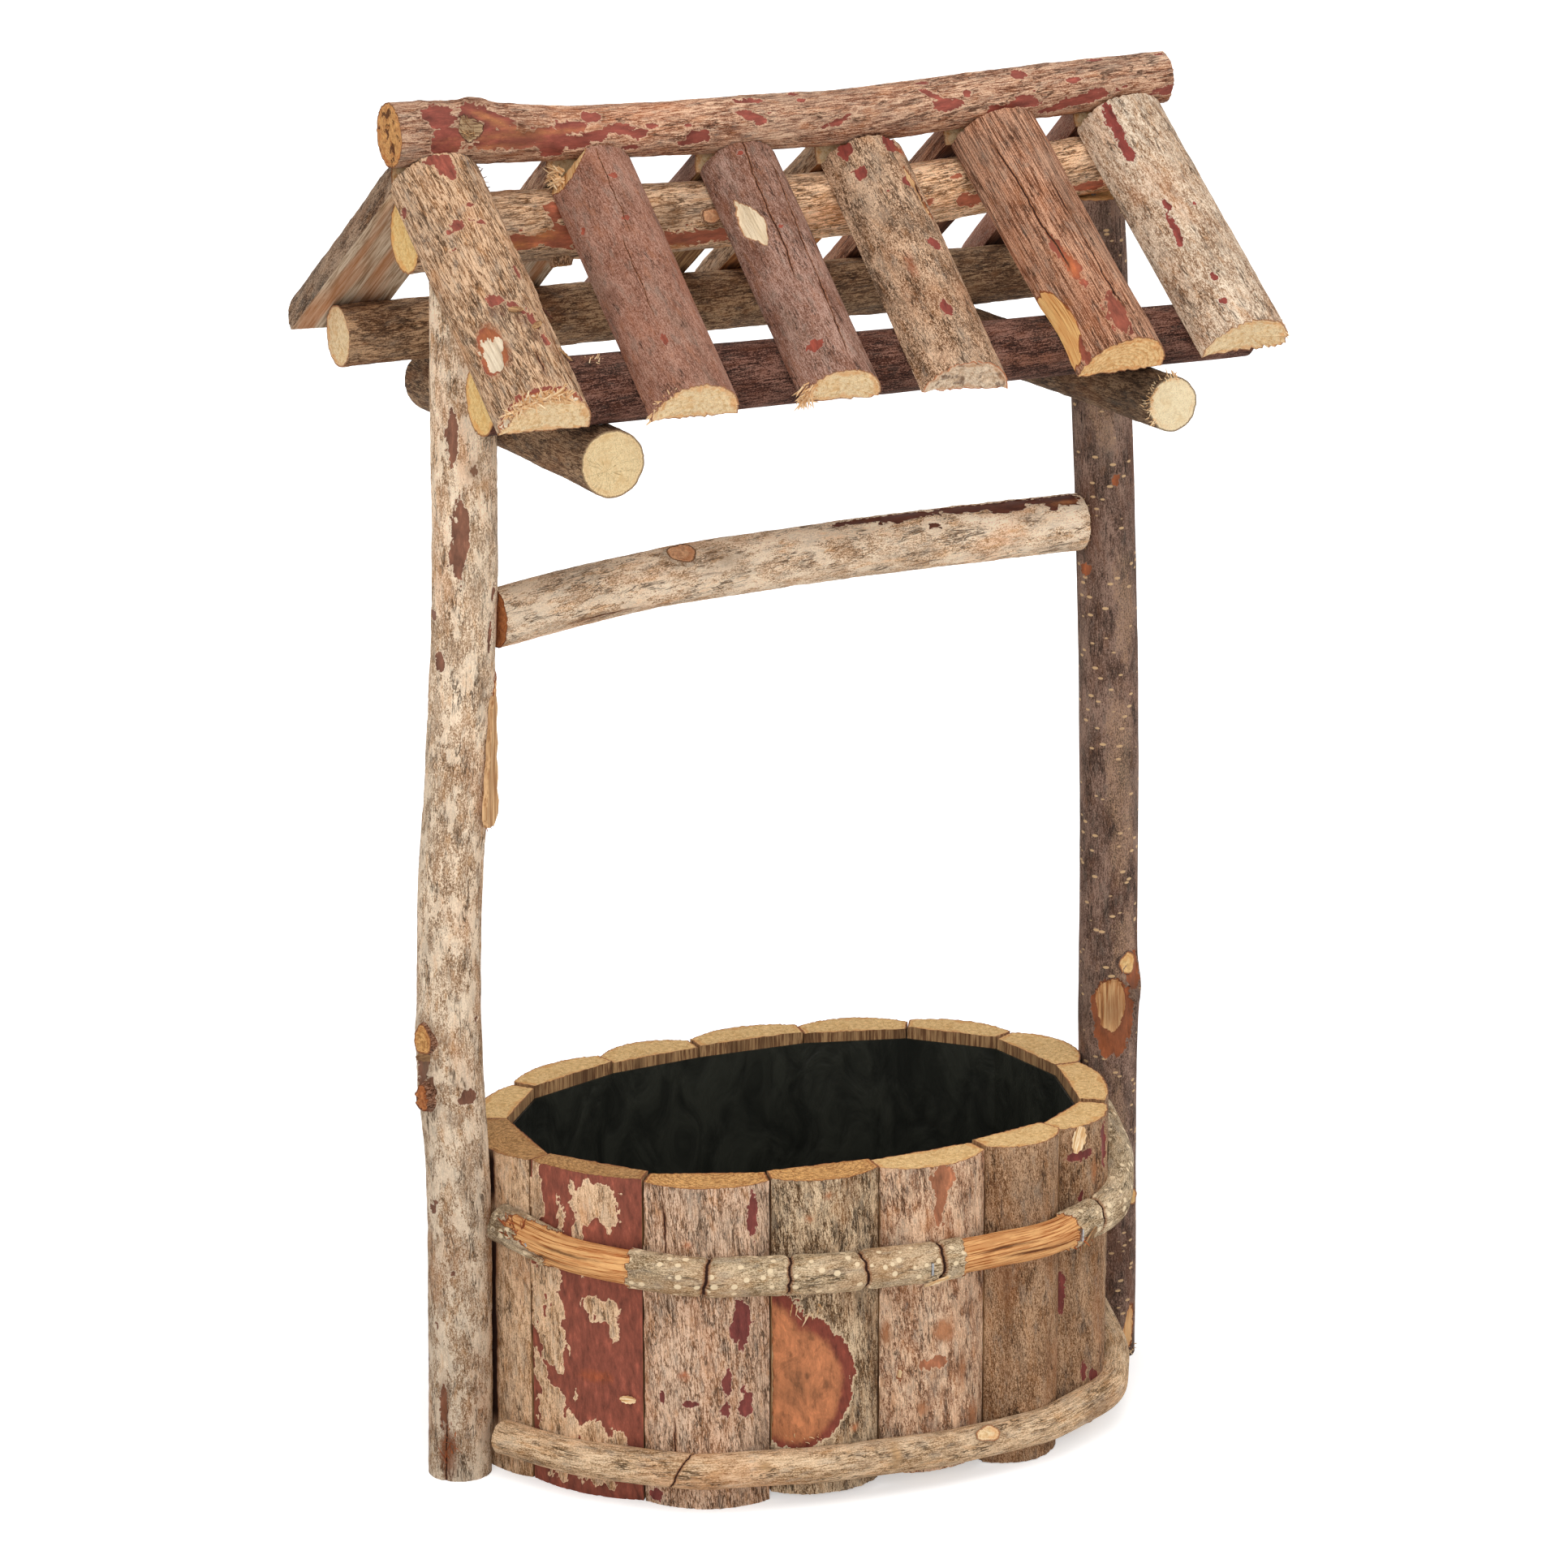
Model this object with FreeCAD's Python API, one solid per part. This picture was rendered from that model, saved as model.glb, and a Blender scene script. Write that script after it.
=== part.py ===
import FreeCAD, Part
import math
import os
from FreeCAD import Vector

# Wishing well planter of natural logs: two posts carry an open slatted roof over
# an oval trough of split staves. Millimetres, +Z up, the front faces -Y, and the
# origin is on the ground midway between the posts.

# clearances
seat_gap = 0.3
joint_gap = 0.8

# posts
post_spacing = 323.5
left_post_radius = 13.8
right_post_radius = 13.3
left_post_bend = [(0, 0), (0.22, 1.3), (0.38, -1.6), (0.48, -0.8), (0.57, 2.4),
                  (0.67, 6.9), (0.78, 8.8), (0.88, 9), (1, 9.6)]
right_post_bend = [(0, 0), (0.34, 2.1), (0.56, 3.6), (0.68, 6), (0.81, 9.2), (1, 15.4)]

# log between the posts
winch_bar_height = 382
winch_bar_radius = 12.6
winch_bar_bow = [(0, 0), (0.17, 6.4), (0.3, 9.8), (0.48, 11.6), (0.75, 12.6), (1, 12.4)]

# short logs on the inner side of each post, front to back, hung below the centre beam
left_cross_radius = 14
left_cross_drop = 82.4
left_cross_front = 88
left_cross_back = 97
left_cross_yaw = 0
right_cross_radius = 11.7
right_cross_drop = 79.7
right_cross_front = 99
right_cross_back = 82
right_cross_yaw = 2.5

# how far the roof stands out past the posts' feet
roof_left_overhang = 21.75
roof_right_overhang = 17.5

# eave logs lying on the cross beams, shorter than the roof at both ends
purlin_spread = 76
purlin_left_inset = 6
purlin_right_inset = 1.5
front_purlin_left_radius = 14.8
front_purlin_right_radius = 12.2
back_purlin_left_radius = 13.2
back_purlin_right_radius = 12.6

# log on the post tops, under the roof
beam_height = 547.6
beam_left_inset = 6
beam_right_inset = 19.5
beam_left_radius = 15.5
beam_right_radius = 12.6
beam_sway = [(0, 0.6), (0.15, 0.6), (0.35, -1.2), (0.55, -1.6), (0.7, -0.6), (0.8, 1.6), (0.9, 4.6), (1, 6.6)]

# half logs of the roof, placed between the first and the last slat
first_slat_inset = 18.5
last_slat_inset = 19.5
slat_shares = [0, 0.209, 0.418, 0.597, 0.809, 1]
front_slat_lengths = [136.5, 135.5, 132.5, 133, 132.5, 129]
front_slat_widths = [39.5, 38, 34.5, 39, 40.5, 41.5]
front_slat_crowns = [20.5, 19.5, 18, 16.5, 21, 20.5]
front_slat_skews = [-1, -4, -6, -8, 5, 6]
back_slat_lengths = [124, 129, 131, 128, 132, 130]
back_slat_widths = [38, 35, 38, 39, 41, 38]
back_slat_crowns = [21, 20, 18.5, 20, 19.5, 20.5]
back_slat_skews = [-8, -5, -7, -9, -9, -1]
back_slat_shifts = [-2, 0, 0, -2, -8, -4]

# log along the top
ridge_radius = 11.5
ridge_swelling = [(0, 2), (0.08, 1.9), (0.16, -0.2), (0.3, -0.2), (0.4, 0), (0.85, 0), (1, -0.6)]
ridge_end_rise = 0.3

# oval ring of split staves, listed from the left post round the front
post_to_ring = 33.55
ring_half_depth = 85
front_left_fullness = 2.15
front_right_fullness = 3
back_fullness = 2.5
first_joint_back = 33
stave_widths = [52, 50, 50, 47, 50, 39, 37, 49, 46, 44, 48, 51, 45, 49, 43]
stave_crowns = [17, 16, 20.5, 20, 21, 21.5, 19, 17, 17, 18, 20, 19, 21, 18, 17]
stave_tops = [0, 0.6, -0.4, 0.3, -0.6, 0.5, -0.8, 0.2, 0, 0.4, -0.5, 0.3, -0.3, 0.6, -0.2]
stave_lifts = [0, 0, 0, 3.5, 6, 0.5, 5, 2, 0, 1, 0, 2.5, 0, 1.5, 0]
stave_height = 146.5
stave_side = 10.5

# split branches bent round the ring
upper_hoop_height = 106
upper_hoop_rise = [(0, 11), (0.12, 4), (0.3, 1), (0.6, -2), (0.78, -2), (0.9, 7), (1, 16)]
upper_hoop_width = 15
upper_hoop_thickness = 11.5
lower_hoop_height = 17.5
lower_hoop_rise = [(0, 0), (0.3, 1.5), (0.6, -0.5), (0.8, 0), (0.92, 4), (1, 10)]
lower_hoop_width = 12.5
lower_hoop_thickness = 11
skin_points = 8

# bottom board and planting film
board_lift = 4
board_thickness = 9
film_thickness = 0.9
film_below_rim = 5

# wire brads and staples, driven into the solid wood
brad_width = 1.5
brad_thickness = 1.2
frame_brad_length = 46
post_brad_length = 38
roof_brad_length = 32
trough_brad_length = 30
hoop_brad_length = 20
head_sink = 1.2
ridge_brad_offset = 9
post_brad_heights = [55, 125]
lower_hoop_brad_shares = [0.12, 0.5, 0.88]
upper_hoop_brad_shares = [0.06, 0.94]
staple_shares = [0.515, 0.71]
staple_wire = 0.9
staple_crown = 5.5
staple_leg = 17

left_end = -post_spacing / 2 - roof_left_overhang
right_end = post_spacing / 2 + roof_right_overhang
ring_half_width = post_spacing / 2 - post_to_ring
left_cross_height = beam_height - left_cross_drop
right_cross_height = beam_height - right_cross_drop

across_x = Vector(1, 0, 0)
front_to_back = Vector(0, 1, 0)
upward = Vector(0, 0, 1)


def blend(a, b, share):
    return a + (b - a) * share


def curve(knots, place):
    """Smooth value at a place between the (place, value) knots of a hand-set curve."""
    place = min(max(place, knots[0][0]), knots[-1][0])
    slopes = []
    for i in range(len(knots)):
        before = knots[max(i - 1, 0)]
        after = knots[min(i + 1, len(knots) - 1)]
        slopes.append((after[1] - before[1]) / (after[0] - before[0]))
    i = 0
    while place > knots[i + 1][0]:
        i += 1
    (start, a), (end, b) = knots[i], knots[i + 1]
    u = (place - start) / (end - start)
    stay = (1 + 2 * u) * (1 - u) ** 2 * a + u * u * (3 - 2 * u) * b
    lean = u * (1 - u) ** 2 * slopes[i] - u * u * (1 - u) * slopes[i + 1]
    return stay + (end - start) * lean


def share_of(place, start, end):
    return (place - start) / (end - start)


def spread_over(start, end, count):
    return [blend(start, end, i / (count - 1)) for i in range(count)]


class Log:
    """A round log square to one direction: centre and radius are functions of the place along it."""

    def __init__(self, direction, start, end, centre, radius, rings):
        self.direction = direction
        self.start = start
        self.end = end
        self.centre = centre
        self.radius = radius
        self.rings = rings

    def top(self, place):
        return self.centre(place).z + self.radius(place)

    def underside(self, place):
        return self.centre(place).z - self.radius(place)

    def solid(self):
        wires = []
        for place in spread_over(self.start, self.end, self.rings):
            ring = Part.Circle(self.centre(place), self.direction, self.radius(place))
            wires.append(Part.Wire(ring.toShape()))
        return Part.makeLoft(wires, True, True)


def half_log_section(centre, across, out, width, crown, side=0.0, spreads=(0.0, 0.0)):
    """Section of a split log: flat side on the centre line, bark side outward."""
    left = centre - across * (width / 2)
    right = centre + across * (width / 2)
    top = centre + out * crown
    if side == 0:
        edges = [Part.LineSegment(left, right), Part.Arc(right, top, left)]
    else:
        left_edge = left - across * spreads[0] + out * side
        right_edge = right + across * spreads[1] + out * side
        edges = [Part.LineSegment(left, right), Part.LineSegment(right, right_edge),
                 Part.Arc(right_edge, top, left_edge), Part.LineSegment(left_edge, left)]
    return Part.Wire([edge.toShape() for edge in edges])


# centre beam, and the posts under it

beam_left = left_end + beam_left_inset
beam_right = right_end - beam_right_inset


def beam_share(x):
    return share_of(x, beam_left, beam_right)


beam = Log(across_x, beam_left, beam_right,
           lambda x: Vector(x, 0, beam_height + curve(beam_sway, beam_share(x))),
           lambda x: blend(beam_left_radius, beam_right_radius, beam_share(x)), 8)


def post(side, bend, radius):
    """Post on the left (side -1) or right (side 1), up to the underside of the beam."""
    foot_x = side * post_spacing / 2
    top_x = foot_x - side * bend[-1][1]
    height = min(beam.underside(top_x + reach) for reach in (-radius, 0, radius)) - seat_gap
    return Log(upward, 0, height,
               lambda z: Vector(foot_x - side * curve(bend, z / height), 0, z),
               lambda z: radius, 9)


left_post = post(-1, left_post_bend, left_post_radius)
right_post = post(1, right_post_bend, right_post_radius)


def inner_face(log, side, z, reach):
    """Furthest that a post's inner side comes in, over a stretch of its height."""
    faces = [side * log.centre(h).x - log.radius(h) for h in (z - reach, z, z + reach)]
    return side * min(faces)


# winch bar between the posts
bar_left = inner_face(left_post, -1, winch_bar_height, winch_bar_radius) + seat_gap
bar_right = inner_face(right_post, 1, winch_bar_height + winch_bar_bow[-1][1], winch_bar_radius) - seat_gap
winch_bar = Log(across_x, bar_left, bar_right,
                lambda x: Vector(x, 0, winch_bar_height
                                 + curve(winch_bar_bow, share_of(x, bar_left, bar_right))),
                lambda x: winch_bar_radius, 8)


def cross_beam(log, side, height, radius, front, back, yaw):
    """Short log on a post's inner side, turned about the post so that its front end leans outward."""
    turn = FreeCAD.Rotation(upward, side * yaw)
    along = turn.multVec(front_to_back)
    inward = turn.multVec(across_x * -side)
    middle = log.centre(height) + inward * (log.radius(height) + seat_gap + radius)
    return Log(along, -front, back, lambda place: middle + along * place, lambda place: radius, 2)


left_cross_beam = cross_beam(left_post, -1, left_cross_height, left_cross_radius,
                             left_cross_front, left_cross_back, left_cross_yaw)
right_cross_beam = cross_beam(right_post, 1, right_cross_height, right_cross_radius,
                              right_cross_front, right_cross_back, right_cross_yaw)


def purlin(side, left_radius, right_radius):
    """Eave log at the front (side -1) or back (side 1), seated on both cross beams."""
    left = left_end + purlin_left_inset
    right = right_end - purlin_right_inset

    def radius(x):
        return blend(left_radius, right_radius, share_of(x, left, right))

    seats = []
    for cross in (left_cross_beam, right_cross_beam):
        x = cross.centre(side * purlin_spread).x
        seats.append((x, cross.top(side * purlin_spread) + seat_gap + radius(x)))
    (left_x, left_z), (right_x, right_z) = seats

    def centre(x):
        return Vector(x, side * purlin_spread, blend(left_z, right_z, share_of(x, left_x, right_x)))

    return Log(across_x, left, right, centre, radius, 3)


front_purlin = purlin(-1, front_purlin_left_radius, front_purlin_right_radius)
back_purlin = purlin(1, back_purlin_left_radius, back_purlin_right_radius)


class RoofPlane:
    """Plane that lies on the beam and on one purlin, under one slat."""

    def __init__(self, side, eave, place, width):
        self.side = side
        self.places = [place - width / 2, place, place + width / 2]
        beam_at = max(self.places, key=beam.top)
        eave_at = max(self.places, key=eave.top)
        beam_z = beam.centre(beam_at).z
        eave_z = eave.centre(eave_at).z
        beam_seat = beam.radius(beam_at) + seat_gap
        eave_seat = eave.radius(eave_at) + seat_gap
        apart = math.hypot(purlin_spread, beam_z - eave_z)
        self.pitch = math.atan2(beam_z - eave_z, purlin_spread) + math.asin((beam_seat - eave_seat) / apart)
        self.offset = beam_z * math.cos(self.pitch) + beam_seat
        self.beam_along = beam_z * math.sin(self.pitch)
        self.eave_along = eave_z * math.sin(self.pitch) - purlin_spread * math.cos(self.pitch)
        self.out = Vector(0, side * math.sin(self.pitch), math.cos(self.pitch))
        self.down = Vector(0, side * math.cos(self.pitch), -math.sin(self.pitch))

    def ridge_height(self, seat):
        """Height at which a ridge of this seat radius lies in the notch of the slat tops."""
        apex = self.offset / math.cos(self.pitch)
        corner_drop = joint_gap / math.sin(2 * self.pitch)
        return apex + seat / math.sin(self.pitch) - corner_drop

    def point(self, along, x, height=0.0):
        return self.out * (self.offset + height) - self.down * along + across_x * x


front_slat_places = [blend(left_end + first_slat_inset, right_end - last_slat_inset, share)
                     for share in slat_shares]
back_slat_places = [place + shift for place, shift in zip(front_slat_places, back_slat_shifts)]


def roof_planes(side, eave, places, widths):
    return [RoofPlane(side, eave, place, width) for place, width in zip(places, widths)]


front_planes = roof_planes(-1, front_purlin, front_slat_places, front_slat_widths)
back_planes = roof_planes(1, back_purlin, back_slat_places, back_slat_widths)


# ridge log in the notch between the slat tops

def ridge_thickness(x):
    return ridge_radius + curve(ridge_swelling, share_of(x, left_end, right_end))


def ridge_knots():
    knots = []
    for place, front, back in zip(front_slat_places, front_planes, back_planes):
        seat = max(ridge_thickness(x) for x in front.places + back.places) + seat_gap
        knots.append((place, min(front.ridge_height(seat), back.ridge_height(seat))))
    return ([(left_end, knots[0][1] + ridge_end_rise)] + knots
            + [(right_end, knots[-1][1] + ridge_end_rise)])


ridge_line = ridge_knots()
ridge_log = Log(across_x, left_end, right_end,
                lambda x: Vector(x, 0, curve(ridge_line, x)), ridge_thickness, 10)


class Slat:
    """Half log on the beam and a purlin, its top end against the ridge log."""

    def __init__(self, plane, length, width, crown, skew):
        self.plane = plane
        self.place = plane.places[1]
        self.length = length
        self.width = width
        self.crown = crown
        self.turn = math.asin(skew / length)
        self.axis = plane.down * math.cos(self.turn) + across_x * math.sin(self.turn)
        self.across = across_x * math.cos(self.turn) - plane.down * math.sin(self.turn)
        rise = math.sin(plane.pitch)
        seat = min(ridge_log.centre(x).z * rise - ridge_log.radius(x) for x in plane.places) - seat_gap
        self.top = seat - abs(math.sin(self.turn)) * width / 2

    def centre(self, along, height=0.0):
        """Point on the slat's middle line at a distance up the slope."""
        down_from_middle = self.top - along - self.length / 2
        x = self.place + math.tan(self.turn) * down_from_middle
        return self.plane.point(along, x, height)

    def solid(self):
        section = half_log_section(self.centre(self.top), self.across, self.plane.out, self.width, self.crown)
        return Part.Face(section).extrude(self.axis * self.length)


def slats(planes, lengths, widths, crowns, skews):
    return [Slat(*sizes) for sizes in zip(planes, lengths, widths, crowns, skews)]


front_slats = slats(front_planes, front_slat_lengths, front_slat_widths, front_slat_crowns, front_slat_skews)
back_slats = slats(back_planes, back_slat_lengths, back_slat_widths, back_slat_crowns, back_slat_skews)


# ring of staves

def signed_power(value, power):
    return math.copysign(abs(value) ** power, value)


def ring_point(turn):
    """Inner corner line of the ring; turn 0 is at the left, and a quarter turn at the front."""
    angle = 2 * math.pi * turn
    if math.sin(angle) < 0:
        fullness = back_fullness
    elif math.cos(angle) > 0:
        fullness = front_left_fullness
    else:
        fullness = front_right_fullness
    return Vector(-ring_half_width * signed_power(math.cos(angle), 2 / fullness),
                  -ring_half_depth * signed_power(math.sin(angle), 2 / fullness), 0)


def ring_joints():
    """Corners between the staves, spaced along the ring by the stave widths."""
    samples = 3000
    start = next(k for k in range(samples) if ring_point(-k / samples).y >= first_joint_back)
    walk = [ring_point((k - start) / samples) for k in range(samples + 1)]
    lengths = [0.0]
    for here, there in zip(walk, walk[1:]):
        lengths.append(lengths[-1] + here.distanceToPoint(there))
    joints = []
    reach = 0.0
    k = 0
    for width in stave_widths:
        while lengths[k] < reach:
            k += 1
        joints.append(walk[k])
        reach += width * lengths[-1] / sum(stave_widths)
    return joints


joints = ring_joints()


class Stave:
    """Split stave between two corners of the ring, flat side inward."""

    def __init__(self, number):
        count = len(joints)
        corners = [joints[(number + k) % count] for k in (-1, 0, 1, 2)]
        edges = [(b - a).normalize() for a, b in zip(corners, corners[1:])]
        self.across = edges[1]
        self.out = self.across.cross(upward)
        self.middle = (corners[1] + corners[2]) * 0.5
        self.width = corners[1].distanceToPoint(corners[2]) - joint_gap
        self.spreads = [stave_side * math.tan(edges[k].getAngle(edges[k + 1]) / 2) for k in (0, 1)]
        self.foot = stave_lifts[number]
        self.height = stave_height + stave_tops[number]
        self.crown = stave_crowns[number]

    def section(self, z):
        return half_log_section(self.middle + upward * z, self.across, self.out,
                                self.width, self.crown, stave_side, self.spreads)

    def solid(self):
        return Part.makeLoft([self.section(self.foot), self.section(self.height)], True, True)

    def seat_against(self, neighbour):
        """Crown height at which the stave stands a seat gap off the post beside it."""
        low, high = stave_side + joint_gap, 2 * self.width
        for _ in range(14):
            self.crown = (low + high) / 2
            if self.solid().distToShape(neighbour)[0] > seat_gap:
                low = self.crown
            else:
                high = self.crown
        self.crown = low

    def skin(self):
        """Corners of a polygon whose sides pass a seat gap outside the bark."""
        arc = self.section(0).Edges[2]
        centre, radius = arc.Curve.Center, arc.Curve.Radius
        points = arc.discretize(skin_points)
        half_step = (points[0] - centre).getAngle(points[1] - centre) / 2
        reach = (radius + seat_gap) / math.cos(half_step)
        return [centre + (point - centre).normalize() * reach for point in points]


staves = [Stave(number) for number in range(len(stave_widths))]
for post_log in (left_post, right_post):
    foot = post_log.centre(0)
    beside = min(staves, key=lambda stave: stave.middle.distanceToPoint(foot))
    beside.seat_against(post_log.solid())


# hoops round the staves

def outline(points):
    """Convex outline of points in the ground plane, from the left round the front."""
    ordered = sorted(points, key=lambda p: (p.x, p.y))

    def chain(candidates):
        kept = []
        for p in candidates:
            while len(kept) > 1 and (kept[-1] - kept[-2]).cross(p - kept[-1]).z <= 0:
                kept.pop()
            kept.append(p)
        return kept[:-1]

    return chain(ordered) + chain(reversed(ordered))


ring_outline = outline([point for stave in staves for point in stave.skin()])


def half_outline(side):
    """Ring's outline in front of (side -1) or behind (side 1) the posts, from left to right."""
    half = [p for p in ring_outline if p.y * side > 0]
    for here, there in zip(ring_outline, ring_outline[1:] + ring_outline[:1]):
        if here.y * there.y < 0:
            crossing = blend(here, there, here.y / (here.y - there.y))
            crossing.y = 0
            half.append(crossing)
    return sorted(half, key=lambda p: math.atan2(abs(p.y), -p.x))


class Hoop:
    """Split branch bent round the front (side -1) or back (side 1) of the ring, post to post."""

    def __init__(self, side, height, rise, width, thickness):
        self.side = side
        self.height = height
        self.rise = rise
        self.width = width
        self.thickness = thickness
        line = half_outline(side)
        line = self.cut_at_post(line, left_post)
        line = self.cut_at_post(line[::-1], right_post)[::-1]
        self.line = line
        self.reach = [0.0]
        for here, there in zip(line, line[1:]):
            self.reach.append(self.reach[-1] + here.distanceToPoint(there))

    def cut_at_post(self, line, log):
        """Begin the line where the branch is a seat gap off the post."""
        clear = log.radius(0) + seat_gap
        axis = log.centre(self.height)
        axis.z = 0
        for k in range(len(line) - 1):
            out = self.outward(line[k], line[k + 1])
            for step in range(200):
                p = line[k] + (line[k + 1] - line[k]) * (step / 200)
                if min((p + out * (self.thickness * s / 8) - axis).Length for s in range(9)) > clear:
                    return [p] + line[k + 1:]
        raise ValueError("a hoop does not clear its post")

    def outward(self, here, there):
        normal = (there - here).cross(upward).normalize()
        if normal.dot(here + there) < 0:
            normal = normal * -1
        return normal

    def station(self, k):
        """Point, outward direction and height of one section."""
        last = len(self.line) - 1
        before = self.line[max(k - 1, 0)]
        after = self.line[min(k + 1, last)]
        lift = self.height + curve(self.rise, self.reach[k] / self.reach[-1])
        return self.line[k] + upward * lift, self.outward(before, after)

    def at(self, share):
        """Point on the inner side, and the outward direction, at a share of the length."""
        wanted = share * self.reach[-1]
        k = next(i for i in range(len(self.reach) - 1) if self.reach[i + 1] >= wanted)
        part = (wanted - self.reach[k]) / (self.reach[k + 1] - self.reach[k])
        start, end = self.station(k)[0], self.station(k + 1)[0]
        return blend(start, end, part), self.outward(self.line[k], self.line[k + 1])

    def solid(self):
        wires = []
        for k in range(len(self.line)):
            point, out = self.station(k)
            wires.append(half_log_section(point, upward, out, self.width, self.thickness))
        return Part.makeLoft(wires, True, True)


def hoop_pair(height, rise, width, thickness):
    return [Hoop(side, height, rise, width, thickness) for side in (-1, 1)]


upper_hoops = hoop_pair(upper_hoop_height, upper_hoop_rise, upper_hoop_width, upper_hoop_thickness)
lower_hoops = hoop_pair(lower_hoop_height, lower_hoop_rise, lower_hoop_width, lower_hoop_thickness)


# bottom board and film inside the ring

def inner_plate(inset, bottom, thickness):
    corners = [corner + upward * bottom for corner in joints]
    wire = Part.makePolygon(corners + corners[:1])
    face = Part.Face(wire.makeOffset2D(-inset, 2))
    return face.extrude(upward * thickness)


def planting_film():
    bottom = board_lift + board_thickness
    height = stave_height - film_below_rim - bottom
    hollow = inner_plate(seat_gap + film_thickness, bottom + film_thickness, height)
    return inner_plate(seat_gap, bottom, height).cut(hollow)


# fasteners

def brad(head, direction, length):
    """Rectangular wire brad with its head at a point, along a direction."""
    wire = Part.makeBox(brad_width, brad_thickness, length, Vector(-brad_width / 2, -brad_thickness / 2, 0))
    wire.Placement = FreeCAD.Placement(head, FreeCAD.Rotation(upward, direction))
    return wire


def brad_through(log, place, direction, length):
    """Brad driven square into a round log, its head sunk below the bark."""
    return brad(log.centre(place) - direction * (log.radius(place) - head_sink), direction, length)


def frame_brads():
    brads = []
    for log, side, bar_end, cross in ((left_post, -1, bar_left, left_cross_beam),
                                      (right_post, 1, bar_right, right_cross_beam)):
        inward = across_x * -side
        for height in (winch_bar.centre(bar_end).z, cross.centre(0).z):
            brads.append(brad_through(log, height, inward, frame_brad_length))
        for height in post_brad_heights:
            brads.append(brad_through(log, height, inward, post_brad_length))
        brads.append(brad_through(beam, log.centre(log.end).x, upward * -1, frame_brad_length))
        for eave, place in ((front_purlin, -purlin_spread), (back_purlin, purlin_spread)):
            brads.append(brad_through(eave, cross.centre(place).x, upward * -1, frame_brad_length))
    return brads


def roof_brads():
    """Each slat is held to the beam and its purlin, and every second one to the ridge log."""
    brads = []
    for row, first in ((front_slats, 0), (back_slats, 1)):
        for slat in row:
            plane = slat.plane
            for along in (plane.beam_along, plane.eave_along):
                head = slat.centre(along, slat.crown - head_sink)
                brads.append(brad(head, plane.out * -1, roof_brad_length))
        for slat in row[first::2]:
            x = slat.place + ridge_brad_offset
            brads.append(brad_through(ridge_log, x, slat.plane.down, roof_brad_length))
    return brads


def trough_brads():
    """Brads through every second stave into the bottom board."""
    brads = []
    for stave in staves[1::2]:
        head = stave.middle + stave.out * (stave.crown - head_sink)
        head.z = board_lift + board_thickness / 2
        brads.append(brad(head, stave.out * -1, trough_brad_length))
    return brads


def hoop_brads():
    brads = []
    for hoops, shares in ((lower_hoops, lower_hoop_brad_shares), (upper_hoops, upper_hoop_brad_shares)):
        for hoop in hoops:
            for share in shares:
                point, out = hoop.at(share)
                head = point + out * (hoop.thickness - head_sink)
                brads.append(brad(head, out * -1, hoop_brad_length))
    return brads


def staple(hoop, share):
    """Staple over an upper hoop, its legs through the branch and into a stave."""
    point, out = hoop.at(share)
    turn = FreeCAD.Rotation(across_x, out)
    outer = hoop.thickness + staple_wire
    half = staple_crown / 2
    crown_bar = Part.makeBox(staple_wire, staple_wire, 2 * half,
                             Vector(outer - staple_wire, -staple_wire / 2, -half))
    legs = [Part.makeBox(staple_leg, staple_wire, staple_wire, Vector(outer - staple_leg, -staple_wire / 2, end))
            for end in (-half, half - staple_wire)]
    shape = crown_bar.fuse(legs).removeSplitter()
    shape.Placement = FreeCAD.Placement(point, turn)
    return shape


def stave_name(number):
    return "stave_%02d" % (number + 1)


def slat_name(row, number):
    return "%s_slat_%d" % (row, number + 1)


def build_nodes():
    nodes = {"left_post": left_post.solid(), "right_post": right_post.solid(),
             "winch_bar": winch_bar.solid(), "centre_beam": beam.solid(),
             "left_cross_beam": left_cross_beam.solid(), "right_cross_beam": right_cross_beam.solid(),
             "front_purlin": front_purlin.solid(), "back_purlin": back_purlin.solid(),
             "ridge_log": ridge_log.solid()}
    for row, row_slats in (("front", front_slats), ("back", back_slats)):
        for number, slat in enumerate(row_slats):
            nodes[slat_name(row, number)] = slat.solid()
    for number, stave in enumerate(staves):
        nodes[stave_name(number)] = stave.solid()
    for place, side in enumerate(("front", "back")):
        nodes["upper_hoop_" + side] = upper_hoops[place].solid()
        nodes["lower_hoop_" + side] = lower_hoops[place].solid()
    nodes["base_board"] = inner_plate(seat_gap, board_lift, board_thickness)
    nodes["planting_film"] = planting_film()
    nodes["frame_brads"] = Part.Compound(frame_brads())
    nodes["roof_brads"] = Part.Compound(roof_brads())
    nodes["trough_brads"] = Part.Compound(trough_brads())
    nodes["hoop_brads"] = Part.Compound(hoop_brads())
    nodes["hoop_staples"] = Part.Compound([staple(hoop, share) for hoop in upper_hoops
                                           for share in staple_shares])
    return nodes


def main():
    os.makedirs("parts", exist_ok=True)
    nodes = build_nodes()
    for name, shape in nodes.items():
        shape.exportStep("parts/" + name + ".step")
    print("nodes", len(nodes))


main()
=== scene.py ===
import bpy
import math
import numpy as np
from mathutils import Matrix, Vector
from mathutils.bvhtree import BVHTree
from types import SimpleNamespace


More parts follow.
